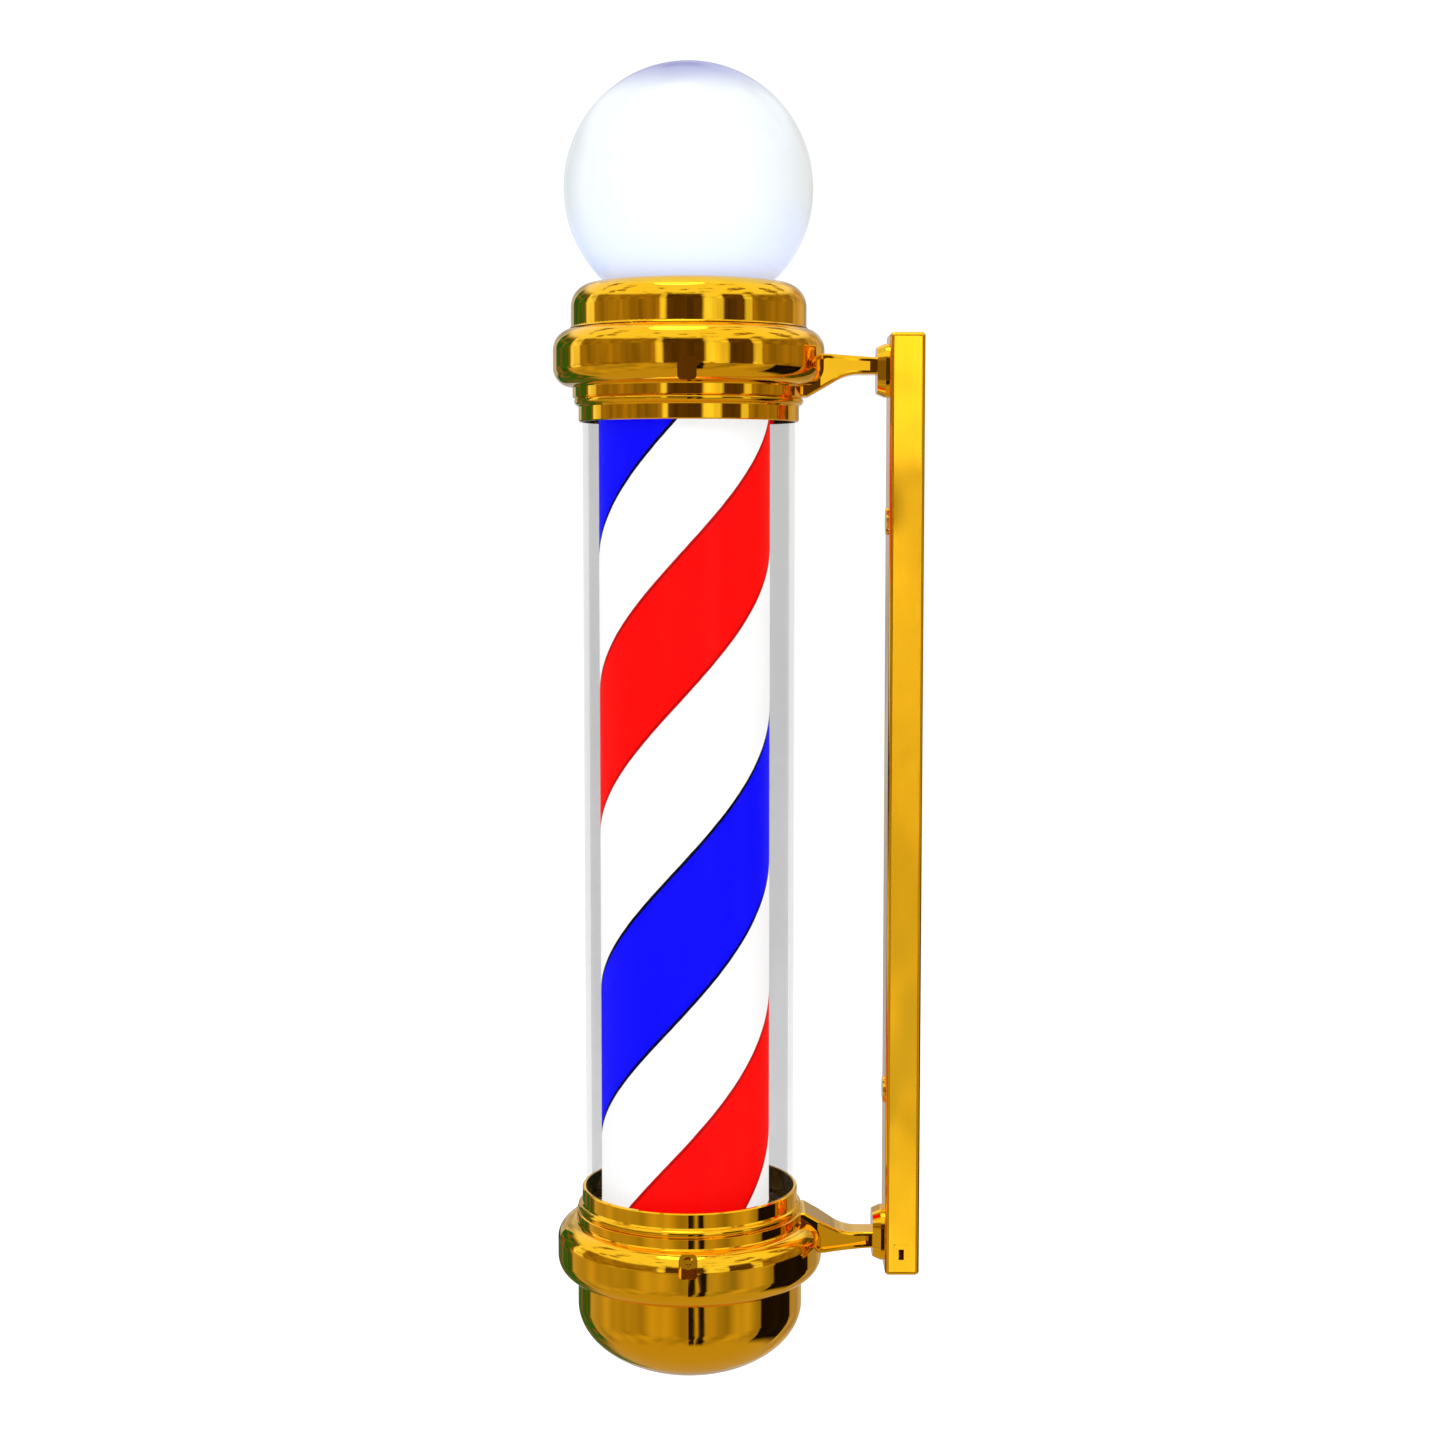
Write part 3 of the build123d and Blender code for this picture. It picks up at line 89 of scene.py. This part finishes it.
# ---------------------------------------------------------------- node graphs
class Graph:
    """Short ways to build the nodes of one material or of the world."""

    def __init__(self, tree):
        self.tree = tree

    def node(self, kind, **settings):
        node = self.tree.nodes.new("ShaderNode" + kind)
        for name, value in settings.items():
            setattr(node, name, value)
        return node

    def put(self, value, socket):
        """Links a socket, or sets a number or a colour."""
        if isinstance(value, bpy.types.NodeSocket):
            self.tree.links.new(value, socket)
        elif socket.type == "RGBA" and len(value) == 3:
            socket.default_value = (*value, 1)
        else:
            socket.default_value = value

    def math(self, operation, a, b=0.0, c=0.0):
        node = self.node("Math", operation=operation)
        for value, socket in zip((a, b, c), node.inputs):
            self.put(value, socket)
        return node.outputs[0]

    def spread(self, factor, low, high, start=0.0, stop=1.0, smooth=False):
        """Maps start..stop to low..high, held at both ends."""
        node = self.node("MapRange", interpolation_type="SMOOTHSTEP" if smooth else "LINEAR")
        for value, socket in zip((factor, start, stop, low, high), node.inputs):
            self.put(value, socket)
        return node.outputs[0]

    def mix(self, factor, a, b, blend="MIX"):
        node = self.node("Mix", data_type="RGBA", blend_type=blend)
        self.put(factor, node.inputs[0])
        self.put(a, node.inputs[6])
        self.put(b, node.inputs[7])
        return node.outputs[2]

    def noise(self, place, scale, detail=2.0, stretch=(1, 1, 1)):
        mapping = self.node("Mapping")
        self.put(place, mapping.inputs["Vector"])
        mapping.inputs["Scale"].default_value = stretch
        node = self.node("TexNoise")
        self.put(mapping.outputs[0], node.inputs["Vector"])
        node.inputs["Scale"].default_value = scale
        node.inputs["Detail"].default_value = detail
        return self.spread(node.outputs[0], 0, 1, 0.25, 0.75)

    def bump(self, height, depth, below=None):
        """A normal from a height of 0 to 1 that is worth depth metres."""
        node = self.node("Bump")
        node.inputs["Strength"].default_value = 1
        node.inputs["Distance"].default_value = depth
        self.put(height, node.inputs["Height"])
        if below is not None:
            self.put(below, node.inputs["Normal"])
        return node.outputs[0]


class Finish(Graph):
    """One material with a Principled shader, its textures laid out in the row frame."""

    def __init__(self, name):
        self.material = bpy.data.materials.new(name)
        self.material.use_nodes = True
        super().__init__(self.material.node_tree)
        self.shader = self.tree.nodes["Principled BSDF"]
        self.output = self.tree.nodes["Material Output"]
        self.place = self.node("TexCoord").outputs["Object"]

    def set(self, **values):
        """Sets or links inputs of the shader, named with underscores for spaces."""
        for name, value in values.items():
            self.put(value, self.shader.inputs[name.replace("_", " ")])

    def xyz(self):
        node = self.node("SeparateXYZ")
        self.put(self.place, node.inputs[0])
        return node.outputs


# ---------------------------------------------------------------- materials
def gold_plating():
    """Bright plating on smooth castings: a warm metal with a slight orange peel and a few softer clouds."""
    f = Finish("gold_plating")
    cloud = f.noise(f.place, 28, 2)
    haze = f.noise(f.place, 90, 4)
    speck = f.noise(f.place, 1400, 3)
    roughness = f.math("MULTIPLY_ADD", haze, 0.035, f.math("MULTIPLY_ADD", speck, 0.02, 0.022))
    wave = f.bump(f.noise(f.place, 45, 0), 26e-6)
    peel = f.bump(f.noise(f.place, 260, 1), 2.4e-6, wave)
    f.set(
        Base_Color=f.mix(cloud, (1.0, 0.585, 0.022), (1.0, 0.53, 0.012)),
        Metallic=1.0, Roughness=roughness, Normal=peel,
    )
    return f.material


def bar_gold():
    """Anodised box section: yellower, with long soft waves along it and fine draw lines."""
    f = Finish("bar_gold")
    cloud = f.noise(f.place, 14, 2, (1, 1, 0.6))
    lines = f.noise(f.place, 1500, 2, (1, 1, 0.01))
    roughness = f.math("MULTIPLY_ADD", cloud, 0.04, f.math("MULTIPLY_ADD", lines, 0.02, 0.1))
    wave = f.bump(f.noise(f.place, 24, 1, (1, 1, 0.8)), 420e-6)
    drawn = f.bump(lines, 0.7e-6, wave)
    f.set(
        Base_Color=f.mix(cloud, (1.0, 0.56, 0.02), (1.0, 0.52, 0.01)),
        Metallic=1.0, Roughness=roughness, Normal=drawn,
    )
    return f.material


def clear_acrylic():
    """Polished clear tube: each surface holds back a little light and adds a faint gloss."""
    f = Finish("clear_acrylic")
    haze = f.noise(f.place, 40, 3, (1, 1, 0.3))
    scratch = f.noise(f.place, 300, 2, (1, 1, 0.08))
    f.set(
        Base_Color=f.mix(haze, (0.012, 0.01, 0.009), (0.006, 0.005, 0.005)),
        Alpha=f.spread(haze, 0.15, 0.172),
        Roughness=f.math("MULTIPLY_ADD", scratch, 0.05, 0.03),
        Specular_IOR_Level=0.12,
    )
    return f.material


def opal_white():
    """Opal globe, lit from inside, white round the middle, with painted shade: darker and deep blue towards
    its top, and bluish towards its neck.
    """
    f = Finish("opal_white")
    height = f.xyz()[2]
    # painted shade: this mask darkens the globe's top to deep blue in its colour and its glow
    top = f.spread(height, 0, 1, GLOBE_TOP_Z - 24 * MM, GLOBE_TOP_Z + 2 * MM, smooth=True)
    # painted shade: this mask tints the neck bluish in its colour and its glow
    neck = f.spread(height, 1, 0, NECK_Z + 12 * MM, NECK_Z + 60 * MM, smooth=True)
    cloud = f.noise(f.place, 30, 3)
    tint = f.mix(cloud, (0.44, 0.465, 0.48), (0.46, 0.48, 0.485))
    # the painted shade is mixed in here: bluish at the neck, dark blue at the top
    tint = f.mix(neck, tint, (0.38, 0.42, 0.6))
    tint = f.mix(top, tint, (0.06, 0.07, 0.32))
    glow = f.mix(neck, (0.24, 0.26, 0.275), (0.35, 0.42, 0.58))
    glow = f.mix(top, glow, (0.03, 0.03, 0.1))
    f.set(
        Base_Color=tint, Emission_Color=glow, Emission_Strength=1.0,
        Roughness=f.spread(f.noise(f.place, 700, 3), 0.16, 0.24),
        Normal=f.bump(f.noise(f.place, 110, 1), 4e-6),
    )
    return f.material


STRIPE_PITCH = 305.8 * MM         # one turn of the helix
RED_TOP = 136 * MM                # height of the red stripe's upper edge, straight out in +X
RED_WIDTH = 75 * MM
BLUE_TOP = -21.5 * MM
BLUE_WIDTH = 80 * MM
EDGE_LINE = 2.4 * MM
EDGE_WOBBLE = 0.25 * MM
WHITE_INK = (1.0, 1.0, 1.0)
RED_INK = (1.0, 0.0, 0.0)
BLUE_INK = (0.0, 0.0, 1.0)
RED_EDGE = (0.5, 0.0, 0.0)
BLUE_EDGE = (0.0, 0.0, 0.02)


def striped_film():
    """White diffusing film with a printed red and a blue helix, each with a fine dark outline."""
    f = Finish("striped_film")
    x, y, z = f.xyz()[:3]
    turn = f.math("ARCTAN2", f.math("SUBTRACT", y, ROTOR.y), f.math("SUBTRACT", x, ROTOR.x))
    wobble = f.math("MULTIPLY", f.math("SUBTRACT", f.noise(f.place, 160, 2), 0.5), EDGE_WOBBLE)
    height = f.math("MULTIPLY_ADD", turn, -STRIPE_PITCH / (2 * pi), f.math("ADD", z, wobble))
    ink = WHITE_INK
    for top, width, fill, edge in (
        (RED_TOP, RED_WIDTH, RED_INK, RED_EDGE), (BLUE_TOP, BLUE_WIDTH, BLUE_INK, BLUE_EDGE),
    ):
        depth = f.math("WRAP", f.math("SUBTRACT", top, height), STRIPE_PITCH, 0)
        middle = f.math("ABSOLUTE", f.math("SUBTRACT", depth, width / 2))
        outline = f.math("LESS_THAN", middle, width / 2)
        inside = f.math("LESS_THAN", middle, width / 2 - EDGE_LINE)
        ink = f.mix(outline, ink, edge)
        ink = f.mix(inside, ink, fill)
    tone = f.spread(f.noise(f.place, 420, 4), 0.97, 1.0)
    ink = f.mix(1.0, ink, tone, "MULTIPLY")
    f.set(
        Base_Color=f.mix(0.55, ink, (0.0, 0.0, 0.0)), Emission_Color=ink, Emission_Strength=1.0,
        Roughness=f.spread(f.noise(f.place, 900, 2), 0.4, 0.5), Specular_IOR_Level=0.05,
        Normal=f.bump(f.noise(f.place, 500, 2), 1.5e-6),
    )
    return f.material


def metal(name, light, dark, smooth, rough, grain, stretch=(1, 1, 1), relief=1.5e-6):
    """A plain metal with patchy colour, grain in its roughness and a fine relief."""
    f = Finish(name)
    patches = f.noise(f.place, 70, 3)
    lines = f.noise(f.place, grain, 3, stretch)
    blur = f.math("MULTIPLY_ADD", patches, 0.4, f.math("MULTIPLY", lines, 0.6))
    f.set(
        Base_Color=f.mix(blur, light, dark), Metallic=1.0,
        Roughness=f.spread(blur, smooth, rough), Normal=f.bump(lines, relief),
    )
    return f.material


def moulded(name, light, dark, smooth, rough, grain, relief=4e-6, level=0.5):
    """A moulded or extruded plastic with a fine surface grain and slightly uneven colour."""
    f = Finish(name)
    patches = f.noise(f.place, 50, 3)
    texture = f.noise(f.place, grain, 3)
    f.set(
        Base_Color=f.mix(patches, light, dark), Specular_IOR_Level=level,
        Roughness=f.spread(texture, smooth, rough), Normal=f.bump(texture, relief),
    )
    return f.material


def glowing(name, light, dark, strength, grain):
    """A lit diffuser or lamp surface."""
    f = Finish(name)
    tint = f.mix(f.noise(f.place, grain, 2), light, dark)
    f.set(
        Base_Color=tint, Emission_Color=tint, Emission_Strength=strength,
        Roughness=f.spread(f.noise(f.place, 4 * grain, 2), 0.3, 0.45),
    )
    return f.material


def circuit_board():
    """White solder mask with a pale copper pattern showing through along the strip."""
    f = Finish("circuit_board")
    trace = f.spread(f.noise(f.place, 260, 0, (1, 1, 0.15)), 0, 1, 0.55, 0.6)
    mask = f.mix(f.noise(f.place, 90, 3), (0.9, 0.91, 0.9), (0.84, 0.86, 0.84))
    f.set(
        Base_Color=f.mix(f.math("MULTIPLY", trace, 0.35), mask, (0.75, 0.6, 0.38)),
        Roughness=f.spread(trace, 0.28, 0.4), Normal=f.bump(trace, 12e-6),
    )
    return f.material


def make_materials():
    turned = (0.05, 0.05, 1)
    return {
        "gold_plating": gold_plating(),
        "bar_gold": bar_gold(),
        "clear_acrylic": clear_acrylic(),
        "opal_white": opal_white(),
        "striped_film": striped_film(),
        "steel": metal("steel", (0.66, 0.67, 0.69), (0.5, 0.51, 0.54), 0.2, 0.38, 900),
        "white_nylon": moulded("white_nylon", (0.86, 0.86, 0.82), (0.78, 0.78, 0.74), 0.4, 0.55, 700),
        "bush_bronze": metal("bush_bronze", (0.6, 0.38, 0.17), (0.42, 0.25, 0.1), 0.35, 0.55, 1600),
        "core_aluminium": metal(
            "core_aluminium", (0.82, 0.83, 0.84), (0.68, 0.69, 0.71), 0.22, 0.36, 1200, (1, 1, 0.02)
        ),
        "circuit_board": circuit_board(),
        "led_phosphor": glowing("led_phosphor", (1.0, 0.93, 0.62), (0.95, 0.84, 0.45), 1.2, 600),
        "gasket_rubber": moulded("gasket_rubber", (0.03, 0.03, 0.032), (0.05, 0.05, 0.05), 0.5, 0.7, 500),
        "motor_metal": metal("motor_metal", (0.72, 0.73, 0.75), (0.55, 0.56, 0.58), 0.25, 0.4, 1100, turned),
        "driver_plastic": moulded(
            "driver_plastic", (0.88, 0.88, 0.88), (0.8, 0.8, 0.81), 0.45, 0.6, 1500, 10e-6
        ),
        "terminal_plastic": moulded(
            "terminal_plastic", (0.86, 0.82, 0.66), (0.78, 0.73, 0.56), 0.35, 0.5, 900
        ),
        "lead_pvc": moulded("lead_pvc", (0.02, 0.02, 0.023), (0.035, 0.035, 0.038), 0.35, 0.5, 1200),
        "porcelain": moulded("porcelain", (0.9, 0.88, 0.82), (0.82, 0.8, 0.73), 0.08, 0.16, 200, 6e-6),
        "bulb_shell": moulded("bulb_shell", (0.9, 0.9, 0.9), (0.84, 0.84, 0.85), 0.35, 0.5, 1100),
        "bulb_metal": metal("bulb_metal", (0.8, 0.78, 0.74), (0.66, 0.64, 0.6), 0.18, 0.3, 1000, turned),
        "bulb_opal": glowing("bulb_opal", (1.0, 1.0, 0.97), (0.96, 0.97, 1.0), 1.5, 40),
    }


# ---------------------------------------------------------------- turned pieces
def rounded(corners, steps=5):
    """A closed outline of (radius, height, rounding) corners, with each rounding drawn as an arc."""
    points = []
    for index, (r, z, rounding) in enumerate(corners):
        here = Vector((r, z))
        if not rounding:
            points.append(here)
            continue
        back = Vector(corners[index - 1][:2]) - here
        onward = Vector(corners[(index + 1) % len(corners)][:2]) - here
        half = back.angle(onward) / 2
        reach = rounding / tan(half)
        middle = here + (back.normalized() + onward.normalized()).normalized() * (rounding / sin(half))
        first = here + back.normalized() * reach - middle
        last = here + onward.normalized() * reach - middle
        for step in range(steps + 1):
            arm = first.normalized().slerp(last.normalized(), step / steps) * first.length
            points.append(middle + arm)
    return points


def lathe(name, outline, centre, material, turns=256):
    """A solid of revolution from a closed outline of (radius, height) points."""
    mesh = bmesh.new()
    rings = []
    for r, z in outline:
        if r < 1e-6:
            rings.append([mesh.verts.new((centre.x, centre.y, z))] * turns)
            continue
        angles = [2 * pi * i / turns for i in range(turns)]
        rings.append([
            mesh.verts.new((centre.x + r * cos(a), centre.y + r * sin(a), z)) for a in angles
        ])
    for ring, onward in zip(rings, rings[1:] + rings[:1]):
        for i in range(turns):
            j = (i + 1) % turns
            corners = list(dict.fromkeys((ring[i], ring[j], onward[j], onward[i])))
            if len(corners) > 2:
                mesh.faces.new(corners)
    return finished(name, mesh, material)


def finished(name, mesh, material, sharp=32):
    """Links a bmesh as an object with smooth faces, sharp where it bends by more than sharp degrees."""
    bmesh.ops.recalc_face_normals(mesh, faces=mesh.faces)
    data = bpy.data.meshes.new(name)
    mesh.to_mesh(data)
    mesh.free()
    data.shade_smooth()
    data.set_sharp_from_angle(angle=radians(sharp))
    data.materials.append(material)
    piece = bpy.data.objects.new(name, data)
    bpy.context.scene.collection.objects.link(piece)
    return piece


def arc(centre_z, radius, start, stop, steps):
    """Points of a circle about the centre line, from one elevation to another in degrees."""
    angles = [radians(start + (stop - start) * i / steps) for i in range(steps + 1)]
    return [Vector((radius * cos(a), centre_z + radius * sin(a))) for a in angles]


GLOBE_WALL = 2.5 * MM
NECK_R = 42.6 * MM


def make_globe(material):
    """The opal globe: an almost full sphere, a soft turn into its neck and a fire-polished lip."""
    inner_r = GLOBE_R - GLOBE_WALL
    inner_neck = NECK_R - GLOBE_WALL
    outer_start = -degrees(acos(NECK_R / GLOBE_R))
    inner_start = -degrees(acos(inner_neck / inner_r))
    outside = arc(GLOBE_CENTRE.z, GLOBE_R, outer_start, 90, 96)
    outside[-1].x = 0
    inside = arc(GLOBE_CENTRE.z, inner_r, 90, inner_start, 72)
    inside[0].x = 0
    lip = rounded([
        (inner_neck, NECK_Z + 6 * MM, 0), (inner_neck, NECK_Z, 1 * MM), (NECK_R, NECK_Z, 1 * MM),
        (NECK_R, NECK_Z + 6 * MM, 0),
    ])
    globe = lathe("globe_opal", lip + outside + inside, GLOBE_CENTRE, material)
    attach(globe, "frame")
    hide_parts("globe")


TUBE_WALL = 3 * MM


def make_tube(material):
    """The clear tube, with its cut ends broken by a small chamfer."""
    inner = TUBE_R - TUBE_WALL
    break_edge = 0.4 * MM
    outline = rounded([
        (inner, TUBE_LOW_Z, break_edge), (TUBE_R, TUBE_LOW_Z, break_edge),
        (TUBE_R, TUBE_HIGH_Z, break_edge), (inner, TUBE_HIGH_Z, break_edge),
    ], steps=2)
    tube = lathe("tube_acrylic", outline, POLE, material, 360)
    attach(tube, "frame")
    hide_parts("clear_tube")


SLEEVE_WALL = 1.2 * MM
SEAM_LIFT = 0.18 * MM             # the film's overlap stands proud by its own thickness
SEAM_ANGLE = radians(196)
SEAM_WIDTH = 5 * MM


def make_sleeve(material):
    """The printed cylinder: film wrapped round it, with an overlapped seam up one side."""
    turns = 360
    mesh = bmesh.new()
    seam_half = SEAM_WIDTH / SLEEVE_R / 2
    edge = radians(0.12)
    bends = [SEAM_ANGLE + side * (seam_half + shift) for side in (-1, 1) for shift in (0, edge)]
    angles = sorted([2 * pi * i / turns for i in range(turns)] + bends)
    inner = SLEEVE_R - SLEEVE_WALL
    columns = []
    for a in angles:
        lifted = abs(a - SEAM_ANGLE) <= seam_half + 1e-9
        outer = SLEEVE_R if lifted else SLEEVE_R - SEAM_LIFT
        section = (
            (outer, SLEEVE_LOW_Z), (outer, SLEEVE_HIGH_Z),
            (inner, SLEEVE_HIGH_Z), (inner, SLEEVE_LOW_Z),
        )
        columns.append([
            mesh.verts.new((ROTOR.x + r * cos(a), ROTOR.y + r * sin(a), z)) for r, z in section
        ])
    for column, onward in zip(columns, columns[1:] + columns[:1]):
        for i in range(4):
            j = (i + 1) % 4
            mesh.faces.new((column[i], onward[i], onward[j], column[j]))
    sleeve = finished("sleeve_printed", mesh, material)
    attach(sleeve, "rotor")
    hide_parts("striped_sleeve")


# ---------------------------------------------------------------- room
FLOOR_GAP = 120 * MM              # how far the floor lies below the bowl
FLOOR_HALF = 20.0
WHITE_WALL = (1.0, 0.98, 0.95)
CREAM_WALL = (0.52, 0.41, 0.22)
BROWN_PANEL = (0.32, 0.22, 0.09)
DARK_PANEL = (0.1, 0.055, 0.022)
NIGHT = (0.012, 0.008, 0.008)
GREEN_LEAVES = (0.035, 0.15, 0.03)
LEAF_GAPS = (0.2, 0.15, 0.06)
BEHIND = (0.58, 0.57, 0.6)
BEAMS = (0.28, 0.17, 0.08)
BACKDROP = (1.08, 1.08, 1.08)      # what the eye sees behind the object
LIT_SIDE = (1.0, 1.0, 1.0)
DIM_SIDE = (0.4, 0.4, 0.47)
PANEL_EDGE = 0.8                  # half the soft edge between two panels, in degrees
# elevations in degrees between which one part of the room fades into the next
HALVES_FADE = (-9, -6)
CEILING_FADE = (20, 30)
GROUND_FADE = (-50, -38)
# what stands round the pole, as bearings in degrees from +X towards +Y: upper half, then lower half
UPPER_ROOM = (
    (-180, BEHIND), (-150, GREEN_LEAVES), (-117, WHITE_WALL), (-103, BROWN_PANEL), (-27, WHITE_WALL),
    (-21, DARK_PANEL), (14, WHITE_WALL), (34, DARK_PANEL), (56, WHITE_WALL), (65, BROWN_PANEL),
    (123, CREAM_WALL), (160, BEHIND),
)
LOWER_ROOM = (
    (-180, BEHIND), (-168, GREEN_LEAVES), (-123, CREAM_WALL), (0, NIGHT), (5, CREAM_WALL), (8, NIGHT),
    (15, CREAM_WALL), (78, NIGHT), (126, CREAM_WALL), (168, BEHIND),
)


def ring_of(g, heading, panels):
    """A colour by heading, with one soft-edged band for each panel. The heading goes round in 0 to 1."""
    ramp = g.node("ValToRGB")
    g.put(heading, ramp.inputs[0])
    stops = ramp.color_ramp
    stops.interpolation = "LINEAR"
    stops.elements[0].position = 0
    stops.elements[0].color = (*panels[0][1], 1)
    stops.elements.remove(stops.elements[1])
    for (_, colour), (bearing, next_colour) in zip(panels, panels[1:]):
        place = (bearing + 180) / 360
        stops.elements.new(place - PANEL_EDGE / 360).color = (*colour, 1)
        stops.elements.new(place + PANEL_EDGE / 360).color = (*next_colour, 1)
    return ramp.outputs[0]


def with_gaps(panels):
    """The same panels, with what is seen between the leaves in place of the leaves."""
    return [(bearing, LEAF_GAPS if colour == GREEN_LEAVES else colour) for bearing, colour in panels]


def make_world():
    """A white surround for the eye, soft light from +X, and a room with panels for reflections."""
    world = bpy.data.worlds.new("room")
    bpy.context.scene.world = world
    world.use_nodes = True
    g = Graph(world.node_tree)
    way = g.node("TexCoord").outputs["Generated"]
    parts = g.node("SeparateXYZ")
    g.put(way, parts.inputs[0])
    x, y, z = parts.outputs[:3]
    bearing = g.math("MULTIPLY_ADD", g.math("ARCTAN2", y, x), 1 / (2 * pi), 0.5)
    wavy = g.math("MULTIPLY_ADD", g.math("SUBTRACT", g.noise(way, 5, 2), 0.5), 0.006, bearing)
    leaves = g.spread(g.noise(way, 7, 3), 0, 1, 0.5, 0.62)
    upper, lower = (
        g.mix(leaves, ring_of(g, wavy, panels), ring_of(g, wavy, with_gaps(panels)))
        for panels in (UPPER_ROOM, LOWER_ROOM)
    )
    lift = g.math("ARCSINE", z)
    below = g.spread(lift, 0, 1, *map(radians, HALVES_FADE))
    room = g.mix(below, lower, upper)
    lower_mottle = g.spread(g.noise(way, 3, 1), 0.5, 1.25)
    upper_mottle = g.spread(g.noise(way, 6, 3), 0.45, 1.45)
    mottle = g.mix(below, lower_mottle, upper_mottle)
    room = g.mix(1.0, room, mottle, "MULTIPLY")
    ceiling = g.spread(lift, 0, 1, *map(radians, CEILING_FADE), smooth=True)
    ground = g.spread(lift, 1, 0, *map(radians, GROUND_FADE), smooth=True)
    beams = g.spread(g.noise(way, 4, 2), 0, 1, 0.55, 0.8)
    room = g.mix(ceiling, room, g.mix(beams, (1.0, 1.0, 1.0), BEAMS))
    room = g.mix(ground, room, CREAM_WALL)
    rays = g.node("LightPath").outputs
    soft_light = g.mix(g.spread(x, 0, 1, -0.7, 0.7, smooth=True), DIM_SIDE, LIT_SIDE)
    room = g.mix(rays["Is Diffuse Ray"], room, soft_light)
    room = g.mix(rays["Is Camera Ray"], room, BACKDROP)
    g.put(room, world.node_tree.nodes["Background"].inputs["Color"])


def make_floor():
    f = Finish("floor_paint")
    f.set(
        Base_Color=f.mix(f.noise(f.place, 6, 3), (0.93, 0.93, 0.93), (0.9, 0.9, 0.9)),
        Roughness=f.spread(f.noise(f.place, 80, 2), 0.6, 0.7), Specular_IOR_Level=0.1,
        Emission_Color=(1.0, 1.0, 1.0), Emission_Strength=0.4,
    )
    data = bpy.data.meshes.new("floor")
    z = OBJECT_LOW_Z - FLOOR_GAP
    corners = [(FLOOR_HALF * x, FLOOR_HALF * y, z) for x, y in ((-1, -1), (1, -1), (1, 1), (-1, 1))]
    data.from_pydata(corners, [], [(0, 1, 2, 3)])
    data.materials.append(f.material)
    floor = bpy.data.objects.new("floor", data)
    bpy.context.scene.collection.objects.link(floor)
    floor.visible_glossy = False
    floor.visible_transmission = False


def area_light(name, place, target, size, power, glossy, height=None):
    """A soft round light of a given size, or a card of that width when it has a height."""
    data = bpy.data.lights.new(name, "AREA")
    data.shape = "RECTANGLE" if height else "DISK"
    data.size = size
    if height:
        data.size_y = height
    data.energy = power
    light = bpy.data.objects.new(name, data)
    bpy.context.scene.collection.objects.link(light)
    light.location = place
    light.rotation_euler = (Vector(target) - Vector(place)).to_track_quat("-Z", "Y").to_euler()
    light.visible_glossy = glossy
    light.visible_transmission = False
    light.visible_camera = False
    return light


CARD_X, CARD_Y = 2.5, 0.19
CARD_WIDTH = 0.45
BAR_FACE_X = 0.02                 # what the cards face, on the bar's side
CARD_DROP = 0.1                   # how far below its own middle each card looks
# each card: its lower and upper height, how bright it looks, and its roll in degrees
BAR_CARDS = (
    ("card_top", 0.26, 0.8, 1.65, 38), ("card_1", 0.09, 0.15, 1.25, 20), ("card_2", 0.01, 0.08, 0.8, 8),
    ("card_3", -0.03, 0.01, 1.3, -6), ("card_4", -0.1, -0.04, 0.8, 4), ("card_5", -0.15, -0.11, 1.3, 5),
    ("card_6", -0.23, -0.16, 0.8, -3), ("card_7", -0.29, -0.25, 1.2, 9), ("card_8", -0.8, -0.29, 0.6, 0),
    ("card_foot", -1.55, -0.85, 1.05, 34),
)


def make_lights():
    middle = (POLE.x, POLE.y, 0.05)
    area_light("key", (2.2, -0.7, 1.1), middle, 1.2, 34, False)
    area_light("fill", (1.6, 1.6, 0.5), middle, 1.5, 9, False)
    area_light("top", (0.2, -0.3, 2.2), middle, 1.0, 7, True)
    # narrow cards beside the bar, which only the bar's flat side shows
    bar_only = bpy.data.collections.new("bar_only")
    for name in ("bracket_bar", "bar_cap_top", "bar_cap_bottom", "cable_grommet"):
        bar_only.objects.link(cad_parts[name])
    for name, low, high, glow, roll in BAR_CARDS:
        card_z = (low + high) / 2
        height = high - low
        place = (CARD_X, CARD_Y, card_z)
        target = (BAR_FACE_X, 0, card_z - CARD_DROP)
        power = glow * pi * CARD_WIDTH * height
        card = area_light(name, place, target, CARD_WIDTH, power, True, height)
        card.rotation_euler.rotate_axis("Z", radians(roll))
        card.light_linking.receiver_collection = bar_only


# ---------------------------------------------------------------- assembly
make_camera()
make_world()
make_floor()
make_lights()

materials = make_materials()
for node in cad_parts.values():
    for holder in node.material_slots:
        holder.material = materials[holder.material.name.split(".")[0]]

make_globe(materials["opal_white"])
make_tube(materials["clear_acrylic"])
make_sleeve(materials["striped_film"])

bpy.context.scene.view_settings.view_transform = "Standard"

bpy.context.view_layer.update()
